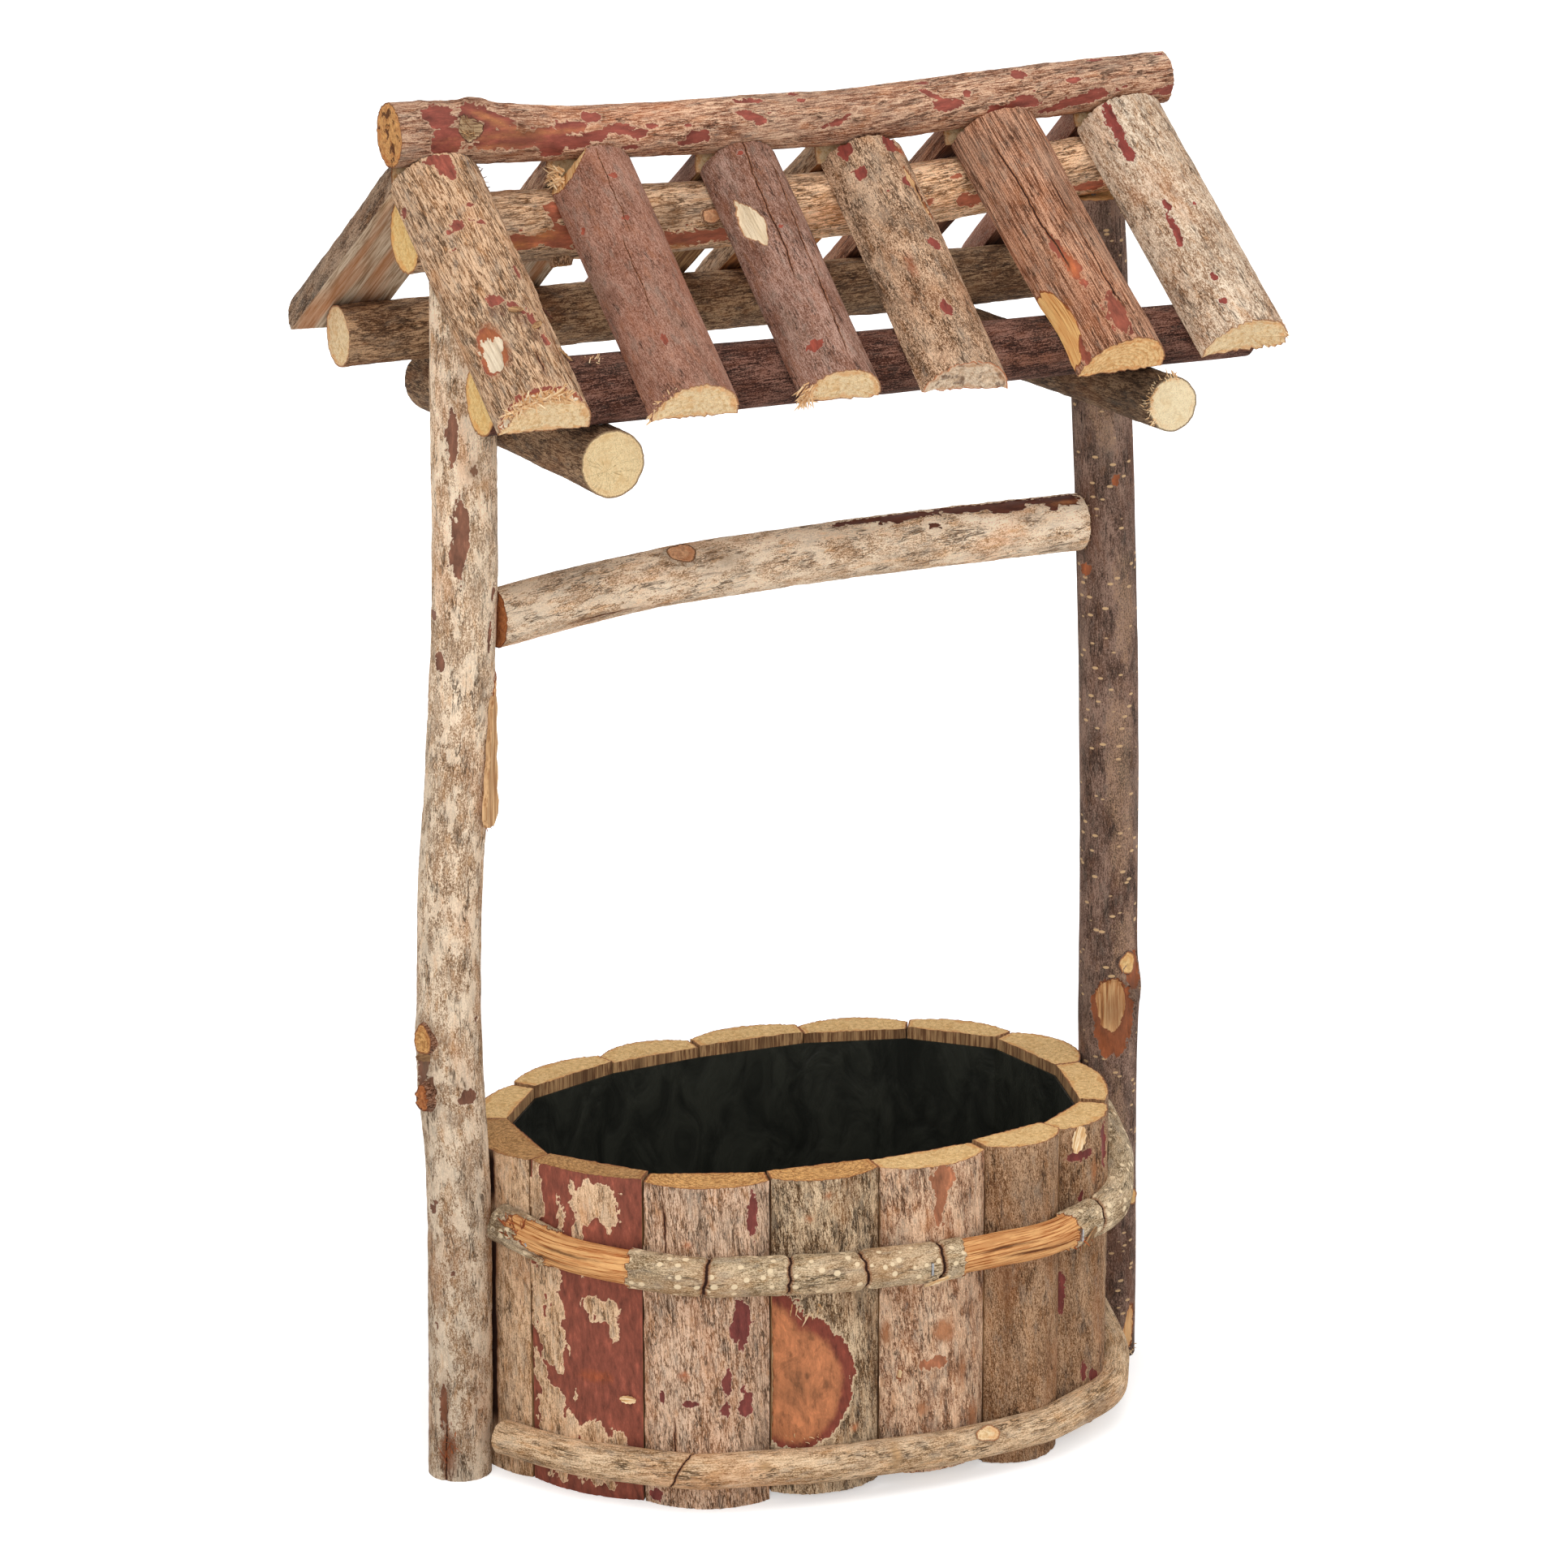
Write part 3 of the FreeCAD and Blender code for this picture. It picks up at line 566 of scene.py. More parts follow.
# low, mean and high colour, dash size across and along the grain in millimetres, how much of dashes, grit
# (the finest grain) and cloud (broad light and shade), of veins (thin cracks), cream flecks and pale outer skin,
# then ridges (size across and along, amount) and dots (amount, scales, size, colour)
barks = {
    "creamTan": ((146, 104, 71), (196, 157, 122), (230, 192, 156), (0.5, 5), (0.5, 0.6, 0.25), 0.5, 0.2, 0.1,
        (1.25, 12, 0.85), None),
    "mauve": ((126, 80, 62), (155, 111, 92), (182, 139, 120), (0.5, 3), (0.6, 0.8, 0.35), 0.15, 0.25, 0, None, None),
    "duskyMauve": ((109, 71, 56), (146, 106, 88), (184, 148, 132), (0.5, 3.5), (0.55, 0.7, 0.35), 0.3, 0.25, 0, None,
        None),
    "greyTan": ((126, 88, 60), (174, 138, 108), (217, 181, 149), (0.6, 1.5), (0.55, 1.4, 0.8), 0.5, 0.6, 0.28,
        (1.3, 4, 0.6), None),
    "ridgedBrown": ((113, 69, 46), (155, 109, 84), (200, 152, 122), (0.38, 16), (0.5, 0.65, 0.25), 0.2, 0.25, 0,
        (1, 36, 0.75), None),
    "silver": ((152, 116, 88), (200, 168, 138), (238, 217, 192), (0.7, 1.9), (0.55, 0.9, 0.5), 0.35, 0.5, 0.25,
        (1.5, 6, 0.5), None),
    "cream": ((152, 118, 88), (198, 168, 138), (240, 218, 191), (0.55, 2), (0.5, 1, 0.5), 0.35, 0.5, 0.62,
        (1.3, 6, 0.4), None),
    "dark": ((84, 64, 53), (116, 90, 78), (150, 122, 106), (0.45, 3), (0.7, 0.9, 0.8), 0.25, 0.25, 0, None,
        (0.9, (0.12, 0.12, 0.26), 0.2, (214, 178, 134))),
    # a maroon bark, darker partly as its own tone and partly as painted shade on the front purlin
    "plum": ((70, 38, 28), (108, 70, 56), (152, 110, 94), (0.4, 7), (0.9, 1.4, 0.7), 0.4, 0.5, 0, (1.1, 14, 0.6),
        None),
    "olive": ((92, 66, 46), (124, 95, 71), (168, 136, 104), (0.5, 3.4), (0.5, 0.7, 0.5), 0.3, 0.15, 0,
        (1.4, 10, 0.7), None),
    "tan": ((134, 85, 62), (183, 136, 108), (225, 187, 156), (0.4, 6.5), (0.5, 0.6, 0.3), 0.5, 0.25, 0.12,
        (1.15, 13, 0.65), None),
    "staveTan": ((140, 105, 73), (180, 147, 115), (212, 180, 147), (0.55, 3.6), (0.5, 0.7, 0.35), 0.35, 0.4, 0.35,
        (1.8, 12, 0.5), None),
    "staveGrey": ((130, 95, 70), (177, 143, 116), (211, 180, 154), (0.6, 3.6), (0.4, 0.6, 0.35), 0.5, 0.35, 0.2,
        (1.4, 8, 0.75), None),
    "mottledDark": ((98, 73, 50), (154, 125, 95), (212, 186, 153), (0.5, 2.6), (0.5, 0.9, 0.75), 0.4, 0.5, 0.3,
        (1.5, 11, 0.6), None),
    "staveOlive": ((102, 69, 44), (141, 108, 79), (178, 144, 113), (0.45, 2.4), (0.7, 0.9, 0.4), 0.3, 0.3, 0, None,
        None),
    "pinkBrown": ((134, 94, 68), (175, 138, 111), (212, 180, 150), (0.6, 4.5), (0.5, 0.8, 0.6), 0.4, 0.3, 0.4,
        (1.6, 8, 0.6), None),
    "twig": ((116, 94, 66), (172, 148, 116), (212, 190, 158), (0.5, 3), (0.55, 0.9, 0.5), 0.2, 0.4, 0.2, None,
        (0.95, (0.22, 0.22, 0.2), 0.3, (246, 222, 184))),
    "barkedTwig": ((132, 102, 70), (186, 154, 120), (222, 194, 160), (0.45, 6), (0.5, 0.7, 0.45), 0.35, 0.3, 0.25,
        (1.2, 12, 0.4), None),
    "deepMaroon": ((104, 52, 44), (132, 76, 62), (160, 104, 88), (0.45, 4), (0.6, 0.6, 0.5), 0.2, 0.2, 0, None,
        None),
}
wine = (142, 77, 64)
woodCream, woodOrange = ((206, 166, 118), (236, 208, 164)), ((174, 108, 62), (234, 184, 132))


barkNoises = {  # scales per millimetre across and along the grain, then detail, roughness and distortion
    "grit": (2.4, 1.3, 2, 0.7), "cloud": (0.11, 0.045, 4, 0.6), "hue": (0.055, 0.022, 2, 0.5),
    "tint": (0.3, 0.1, 4, 0.65), "veins": (0.5, 0.075, 3, 0.6, 0.8), "veinPatch": (0.16, 0.06, 2, 0.5),
    "flecks": (1.6, 0.9, 3, 0.65), "edge": (0.7, 0.42, 4, 0.65), "shade": (0.35, 0.12, 6, 0.68),
    "swirl": (0.09, 0.07, 4, 0.6, 1.6), "fibres": (1.1, 0.035, 5, 0.7), "woodCloud": (0.2, 0.05, 3, 0.6),
}


def barkMaterial(name, look):
    *tones, dash, share, veins, flecks, skin, ridges, dots = barks[look["bark"]]
    # light darkens or brightens this piece's bark: partly its own tone, partly painted light and shade
    low, mean, high = (shade(tone, look.get("light", 1.0)) for tone in tones)
    r = recipeFor(name)
    at = SimpleNamespace(**{key: r.attribute(key) for key in (
        "peel", "bare", "knot", "tone", "glow", "stain", "crack", "open", "level")})
    spot = SimpleNamespace(**{key: r.spots(*settings) for key, settings in barkNoises.items()})
    dashes = r.spots(1 / dash[0], 1 / dash[1], 3, 0.6, 0.25)
    level = r.add(r.centred(dashes, share[0]), r.centred(spot.grit, share[1]))
    if ridges:  # long dark cracks that join up, between paler ridges
        wide, long, amount = ridges
        folds = r.fold(r.spots(1 / wide, 1 / long, 3, 0.55, 0.4))
        level = r.add(level, r.between(folds, 0.0, 0.075, (-0.24 * amount, 0.08 * amount)))
    level = r.add(level, r.centred(spot.cloud, share[2]), r.times(at.tone, 0.1), 0.5)
    stops = [(0.24, shade(low, 0.6)), (0.39, low), (0.5, mean), (0.61, high), (0.76, shade(high, 1.09))]
    colour = r.ramp(level, stops)
    if skin:  # paler outer skin left in ragged places
        ragged = r.add(r.spots(0.15, 0.07, 6, 0.68), r.centred(spot.grit, 0.1))
        colour = r.cover(colour, ragged, 0.5, 0.55, skin, shade(high, 1.06))
        colour = r.cover(colour, ragged, 0.47, 0.42, skin * 0.5, shade(low, 1.12))
    # a slow change of hue, towards grey and towards orange
    grey = [sum(mean) / 3] * 3
    for value, none, full, base, factors in (
            (spot.hue, 0.5, 0.75, grey, (1.08, 0.98, 0.86)), (spot.hue, 0.48, 0.25, mean, (1.06, 0.86, 0.7)),
            (spot.tint, 0.53, 0.68, mean, (1.09, 0.96, 0.78)), (spot.tint, 0.47, 0.34, grey, (1.05, 0.99, 0.9))):
        colour = r.cover(colour, value, none, full, 0.3, [v * factor for v, factor in zip(base, factors)])
    # fine wandering cracks, cream flecks and dots
    veinPatch = r.between(spot.veinPatch, 0.62 - 0.3 * veins, 0.72 - 0.3 * veins, (0, 0.85))
    vein = r.times(r.between(r.fold(spot.veins), 0.04, 0.012), veinPatch)
    colour = r.mix(vein, colour, shade(low, 0.55))
    colour = r.cover(colour, spot.flecks, 0.66, 0.72, flecks, shade(high, 1.07))
    if dots:
        amount, spread, size, dotTone = dots
        cells = r.node("TexVoronoi", {"Vector": r.scaled(r.place, *spread), "Scale": 1.0}).outputs["Distance"]
        colour = r.cover(colour, r.add(cells, r.centred(spot.grit, 0.08)), size, 0.75 * size, amount, dotTone)
    stained = r.between(r.add(at.stain, r.centred(spot.cloud, 12)), -1.0, 2.5)
    stained = r.times(stained, r.between(spot.flecks, 0.44, 0.56, (0.25, 0.9)))
    stained = r.times(stained, r.between(spot.grit, 0.42, 0.58, (0.25, 1.0)))
    colour = r.mix(stained, colour, look.get("stainColour", (112, 72, 54)))
    # peeled places: inner bark with a pale torn edge, and glowing bands where it is worn to the wood
    inside, glowTone = look.get("inner", wine), look.get("glowColour", (190, 124, 80))
    edge = r.centred(spot.edge, 3.4)
    torn = r.add(at.peel, edge)
    inner = r.ramp(spot.shade, [(place, shade(inside, factor)) for place, factor in (
        (0.3, 0.72), (0.46, 0.96), (0.56, 1.05), (0.7, 1.3))])
    inner = r.cover(inner, spot.flecks, 0.67, 0.73, 0.6, shade(inside, 1.45))
    bands = r.times(r.maths("SINE", r.add(r.times(at.glow, 0.5), r.centred(spot.swirl, 34))), 0.035)
    bands = r.add(bands, r.add(r.times(spot.shade, 0.75), r.centred(spot.swirl, 0.6)), 0.125)
    glowing = r.ramp(bands, [(place, shade(glowTone, factor)) for place, factor in (
        (0.32, 0.76), (0.48, 0.97), (0.66, 1.16))])
    for value, none, full, factor in (
            (at.glow, 9, 0, 0.78), (spot.shade, 0.43, 0.34, 0.62), (spot.flecks, 0.6, 0.7, 1.32)):
        glowing = r.cover(glowing, value, none, full, 0.45, shade(glowTone, factor))
    paleEdge = r.add(torn, r.centred(spot.grit, 1.6))
    colour = r.cover(colour, paleEdge, -look.get("rimWidth", 0.8), -0.1, look.get("rim", 0.6), shade(high, 1.04))
    colour = r.cover(colour, torn, 0.0, 0.12, 1, inner)
    colour = r.cover(colour, r.add(at.glow, edge), -1.6, 2.2, look.get("glowAmount", 0.92), glowing)
    # stripped places: bare wood in long fibres
    darkWood, lightWood = look.get("wood", woodCream)
    stops = [(0.34, shade(darkWood, look.get("woodDeep", 0.6))), (0.42, darkWood), (0.51, lightWood)]
    wood = r.ramp(spot.fibres, stops + [(0.62, shade(lightWood, 1.08))])
    wood = r.cover(wood, spot.woodCloud, 0.45, 0.62, 0.45, darkWood)
    stripped = r.add(at.bare, r.times(edge, look.get("woodEdge", 0.6)))
    colour = r.cover(colour, stripped, -0.5, -0.1, 1, look.get("woodRim", (136, 74, 44)))
    colour = r.cover(colour, stripped, 0.0, 0.15, 1, wood)
    colour = r.mix(r.times(at.knot, 0.5), colour, shade(low, 0.8))
    # long cracks and breaks: a brown edge and a near-black middle, which is painted shade deep in the crack
    width = look.get("crackWidth", 1.0)
    off = r.add(r.maths("ABSOLUTE", at.crack), r.centred(spot.flecks, 0.8))
    for none, full, amount, tone in ((1.0, 0.5, 0.6, (150, 92, 56)), (0.5, 0.2, 1, (54, 30, 22))):
        colour = r.mix(r.times(r.between(off, none * width, full * width, (0, amount)), at.open), colour, tone)
    # times the level along the piece, partly its own tone and partly painted light and shade
    colour = r.mix(1.0, colour, at.level, "MULTIPLY")
    bump = r.add(r.centred(dashes, 0.9), r.centred(spot.grit, 0.5))
    bump = r.maths("SUBTRACT", bump, r.times(vein, 0.35))
    bump = r.times(bump, r.between(torn, -0.2, 0.2, (1.0, 0.35)))
    bump = r.maths("SUBTRACT", bump, r.between(torn, -0.25, 0.1, (0, 0.4)))
    bump = r.add(bump, r.times(r.between(stripped, 0, 0.3), r.centred(spot.fibres, 1.5)))
    return r.finish(colour, r.between(torn, 0.0, 0.3, (0.86, 0.62)), bump, 0.85, 0.6)


def cutMaterial(name, light, dark, edge, rings, holes=0.0, rough=1.0, cracks=0.6):
    # a sawn end: growth rings round the pith, saw fuzz, and a thin line of bark at the rim
    r = recipeFor(name)
    rim, flat = r.attribute("rim"), r.scaled(r.place, 1, 1, 0)
    bend = r.node("TexNoise", {"Vector": r.scaled(r.place, 0.1, 0.1, 0), "Scale": 1.0}).outputs[1]
    bend = r.scaled(bend, 5, 5, 0)
    bent = r.node("VectorMath", {0: flat, 1: bend}, operation="ADD").outputs[0]
    radius = r.node("VectorMath", {0: bent}, operation="LENGTH").outputs["Value"]
    ringLine = r.maths("SINE", r.times(radius, 3.1))
    fuzz, stain, patches = r.noise(flat, 1.6, 4, 0.75), r.spots(0.12, 0, 3, 0.55), r.spots(0.42, 0, 5, 0.72)
    stops = [(0.3, shade(dark, 0.9)), (0.42, shade(light, 0.93)), (0.52, light), (0.66, shade(light, 1.15))]
    colour = r.ramp(fuzz, stops)
    split = r.node("SeparateXYZ", {0: bent})
    spin = r.times(r.maths("ARCTAN2", split.outputs[1], split.outputs[0]), 1.6)
    rays = r.noise(r.node("CombineXYZ", {0: spin, 1: r.times(radius, 0.03)}).outputs[0], 1, 3, 0.7)
    rays = r.times(r.between(r.fold(rays), 0.012, 0.003), r.between(radius, 14, 2, (0.15 * cracks, cracks)))
    colour = r.mix(rays, colour, shade(dark, 0.72))
    warm = [v * factor for v, factor in zip(dark, (0.98, 0.84, 0.68))]
    for value, none, full, amount, tone in (
            (ringLine, 0.1, 1.0, rings, dark), (stain, 0.5, 0.72, 0.65, dark),
            (patches, 0.5, 0.6, 0.75 * rough, shade(dark, 0.93)),
            (patches, 0.46, 0.38, 0.7 * rough, shade(light, 1.12)),
            (r.add(rim, r.centred(stain, 16)), 3.2, 0.4, 0.55 * rough, warm)):
        colour = r.cover(colour, value, none, full, amount, tone)
    if holes:
        colour = r.cover(colour, r.spots(0.17, 0, 4, 0.6), 0.53, 0.6, holes, (78, 40, 24))
    fringe = r.between(r.add(rim, r.centred(patches, 5)), 2.0, 0.9)
    colour = r.mix(r.times(fringe, r.between(patches, 0.44, 0.54, (0, 0.75))), colour, shade(light, 1.12))
    colour = r.cover(colour, r.add(rim, r.centred(fuzz, 1.6)), 1.1, 0.3, 0.85, edge)
    return r.finish(colour, 0.85, r.add(fuzz, r.times(ringLine, 0.1)), 0.6, 0.5)


def splitMaterial(name, light, dark, lower=None):
    # a split face: long streaks along the grain
    r = recipeFor(name)
    streaks = r.spots(0.9, 0.035, 5, 0.62, 0.3)
    colour = r.ramp(streaks, [(0.3, shade(dark, 0.75)), (0.43, dark), (0.57, light), (0.75, shade(light, 1.08))])
    colour = r.cover(colour, r.spots(0.12, 0.012, 2, 0.5), 0.42, 0.68, 0.6, lower or shade(dark, 0.72))
    return r.finish(colour, 0.82, streaks, 0.45, 0.3)


# light, dark and edge colour, then how much of the growth rings, holes, roughness and cracks
ends = {key: cutMaterial(name + key.capitalize(), *settings) for name, key, *settings in (
    ("sawnEnd", "yellow", (248, 221, 177), (228, 181, 122), (150, 92, 60), 0.22),
    ("sawnEnd", "clean", (240, 214, 166), (218, 178, 122), (118, 88, 66), 0.18, 0.0, 0.35, 0.95),
    ("sawnEnd", "pale", (248, 228, 188), (228, 196, 148), (104, 80, 60), 0.1, 0.0, 0.5, 0.25),
    ("sawnEnd", "sunny", (252, 214, 146), (232, 176, 98), (150, 84, 54), 0.2),
    ("sawnEnd", "ringed", (250, 210, 152), (220, 158, 94), (120, 62, 44), 0.7),
    ("sawnEnd", "golden", (238, 200, 142), (212, 164, 102), (136, 72, 50), 0.3),
    ("sawnEnd", "amber", (224, 172, 108), (160, 104, 56), (120, 62, 42), 0.6),
    ("sawnEnd", "brown", (194, 148, 96), (140, 100, 60), (112, 58, 42), 0.6),
    ("sawnEnd", "spotted", (218, 162, 100), (178, 108, 60), (120, 74, 50), 0.15, 0.9),
    ("sawnEnd", "grey", (232, 208, 180), (190, 152, 118), (182, 104, 60), 0.3, 0.6),
    ("sawnTwig", "pink", (222, 170, 128), (186, 128, 92), (84, 54, 40), 0.3),
    ("sawnEnd", "striped", (200, 132, 82), (144, 82, 46), (104, 56, 38), 0.3))}
splits = {key: splitMaterial(name, *settings) for key, name, *settings in (
    ("brown", "splitFaceBrown", (188, 148, 104), (130, 92, 62)),
    ("pale", "splitFacePale", (208, 186, 160), (160, 132, 104), (180, 114, 68)),
    ("orange", "splitFaceOrange", (204, 138, 84), (146, 90, 54)),
    ("dark", "splitFaceDark", (128, 84, 62), (78, 46, 34)),
    ("fibre", "tornFibre", (250, 226, 186), (220, 172, 118), (206, 150, 96)),
    ("tan", "splitFaceTan", (228, 186, 138), (182, 132, 88)),
    ("rust", "rustFibre", (184, 104, 60), (128, 66, 40)))}


# pieces

def placed(name, data):
    made = bpy.data.objects.new(name, data)
    bpy.context.scene.collection.objects.link(made)
    return made


def addPiece(name, mesh, materials, node, replaces=False):
    for material in materials:
        mesh.materials.append(material)
    piece = placed(name, mesh)
    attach(piece, "root")
    if replaces:
        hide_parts(node)


def wooden(node, blank, look):
    bark = barkMaterial(node + "_bark", look)
    materials = (bark, ends[look.get("end", "golden")], splits[look.get("split", "brown")])
    addPiece(node + "_wood", makeMesh(node + "_wood", blank, look), materials, node, True)
    trims = (("twigs", "twig", twigStub), ("tufts", "fibres", fibreTuft), ("chips", "chip", woodChip))
    for key, word, make in trims:
        for number, row in enumerate(look.get(key, []), 1):
            make("%s_%s_%d" % (node, word, number), node, blank, look, *row)


def twigStub(name, node, blank, look, share, turn, halfLength, halfWidth, rise, end="pink", bark=None, tear=0.25,
             flare=0.35, sunk=2.5, step=0.6, aroundCount=40):
    # the stub of a side twig, cut off
    spot, outward, lengthways = placeOn(blank, share, turn)[:3]
    height = rise + sunk
    stations = np.linspace(0, height, max(6, int(height / step)))
    centres = spot - outward * sunk + stations[:, None] * outward
    flares = 1 + flare * np.exp(-np.clip(stations - 2.2, 0, None) / 1.6)
    around = np.linspace(0, fullTurn, aroundCount, endpoint=False)
    ring = np.stack([np.cos(around) * halfWidth, np.sin(around) * halfLength], axis=1)
    ring *= (1 + 0.07 * np.sin(around * 3 + look["seed"]) + 0.04 * np.sin(around * 5))[:, None]
    small = blankFrom(stations, centres, np.cross(lengthways, outward), lengthways, flares[:, None, None] * ring,
                      around * halfWidth, fullTurn * halfWidth)
    own = dict(bark=bark or look["bark"], seed=look["seed"] + 900, lumps=0.15, torn=(0.1, tear), light=0.85)
    materials = (barkMaterial(name + "_bark", own), ends[end], ends[end])
    addPiece(name, makeMesh(name, small, own), materials, node)


def spikes(name, strands, shares=(0, 0.3, 0.6, 0.85)):
    # closed tapering strands: base, direction, bend, length, width, thickness
    verts, faces, grains = [], [], []
    for base, direction, bend, length, width, thickness in strands:
        direction = unit(direction)
        side = np.cross(direction, bend)
        side /= np.linalg.norm(side) + 1e-9
        up = np.cross(side, direction)
        first = len(verts)
        for share in shares:
            middle = base + direction * length * share + bend * share * share
            wide, thick = width * (1 - 0.75 * share) / 2, thickness * (1 - 0.6 * share) / 2
            for a, b in ((-1, -1), (1, -1), (1, 1), (-1, 1)):
                verts.append(middle + side * wide * a + up * thick * b)
                grains.append((a * wide, b * thick + len(strands), length * share + first))
        verts.append(base + direction * length + bend)
        grains.append((0, 0, length + first))
        tip = first + 4 * len(shares)
        for low in range(first, tip - 4, 4):
            faces += [(low + j, low + (j + 1) % 4, low + (j + 1) % 4 + 4, low + j + 4) for j in range(4)]
        faces += [(tip - 4 + j, tip - 4 + (j + 1) % 4, tip) for j in range(4)]
        faces.append((first + 3, first + 2, first + 1, first))
    return meshFrom(name, verts, faces, grains)


def fibreTuft(name, node, blank, look, share, turn, spreadTurn, spreadShare, count, length, width, wild, aim,
              wood="fibre", deep=1.4):
    # torn fibres over a patch of the bark, or past a sawn end; aim is lengthways, outward and sideways
    chance = np.random.default_rng(look["seed"] * 1000 + 500 + int(turn))
    strands = []
    for k in range(count):
        place = np.clip(share + chance.uniform(-1, 1) * spreadShare, 0, 1)
        spot, outward, lengthways, sideways = placeOn(blank, place, turn + chance.uniform(-1, 1) * spreadTurn)
        direction = lengthways * aim[0] + outward * aim[1] + sideways * aim[2] + chance.normal(0, wild, 3)
        base = spot - outward * chance.uniform(0.6, deep) - direction * 0.6
        bend = chance.normal(0, 0.22, 3) * length + outward * 0.05
        strands.append((base, direction, bend, length * chance.uniform(0.45, 1.1),
                        width * chance.uniform(0.6, 1.4), width * 0.55))
    addPiece(name, spikes(name, strands), (splits[wood],), node)


def woodChip(name, node, blank, look, share, turn, angle, length, width, lift, wood="fibre", thickness=0.7,
             follows=False, count=12, across=5):
    # a thin curled chip or flap of bark or wood, lifting off at one end
    spot, outward, lengthways, sideways = placeOn(blank, share, turn)
    angle = math.radians(angle)
    aim = lengthways * math.cos(angle) + sideways * math.sin(angle)
    wide = np.cross(outward, aim)
    verts = []
    for k in range(count):
        part = k / (count - 1)
        profile = math.sin(math.pi * min(1, part * 0.92 + 0.06)) ** 0.6
        ragged = 0.12 * math.sin(k * 2.3 + share * 40)
        middle = spot + aim * length * (part - 0.5)
        if follows:  # a long sliver bends with its piece, and widens to its far end
            place = share + math.cos(angle) * (part - 0.5) * length / blank["stations"][-1]
            middle = placeOn(blank, place, turn)[0]
            profile = (0.2 + 0.8 * part) * min(1, (1.03 - part) * 8) ** 0.5
        for side, rise in ((1, thickness), (-1, 0.0)):
            for j in range(across):
                off = (j / (across - 1) - 0.5) * side * width * (profile + ragged)
                cup = 0.5 * (abs(off) / width * 2) ** 2
                verts.append(middle + outward * (lift * part ** 2 - 0.25) + wide * off + outward * (rise + cup))
    size = 2 * across
    faces = [(k * size + j, k * size + (j + 1) % size, (k + 1) * size + (j + 1) % size, (k + 1) * size + j)
             for k in range(count - 1) for j in range(size)]
    faces += [tuple(range(size))[::-1], tuple((count - 1) * size + j for j in range(size))]
    grains = [(v @ wide, v @ outward, v @ aim) for v in verts]
    addPiece(name, meshFrom(name, verts, faces, grains, 50), (splits[wood],), node)


toRight, toBack, toFront, upward = (1, 0, 0), (0, 1, 0), (0, -1, 0), (0, 0, 1)

# shades lighten or darken a piece's colour along it: partly its own tone, partly painted light and shade
# looks: the rows hold shares of the length, turns round the piece and millimetres
# shades: share, level; knots: share, turn, radius, rise; splits: start, end, turn, lean; breaks: share, lean
# peels, crusts, glows, stains and bares: share, turn, half length, half width, tilt in degrees
# slices: share, turn, depth, lean, sway, reach; twigs, tufts and chips: what their functions take after look
# turns on posts: degrees from the left side round the front

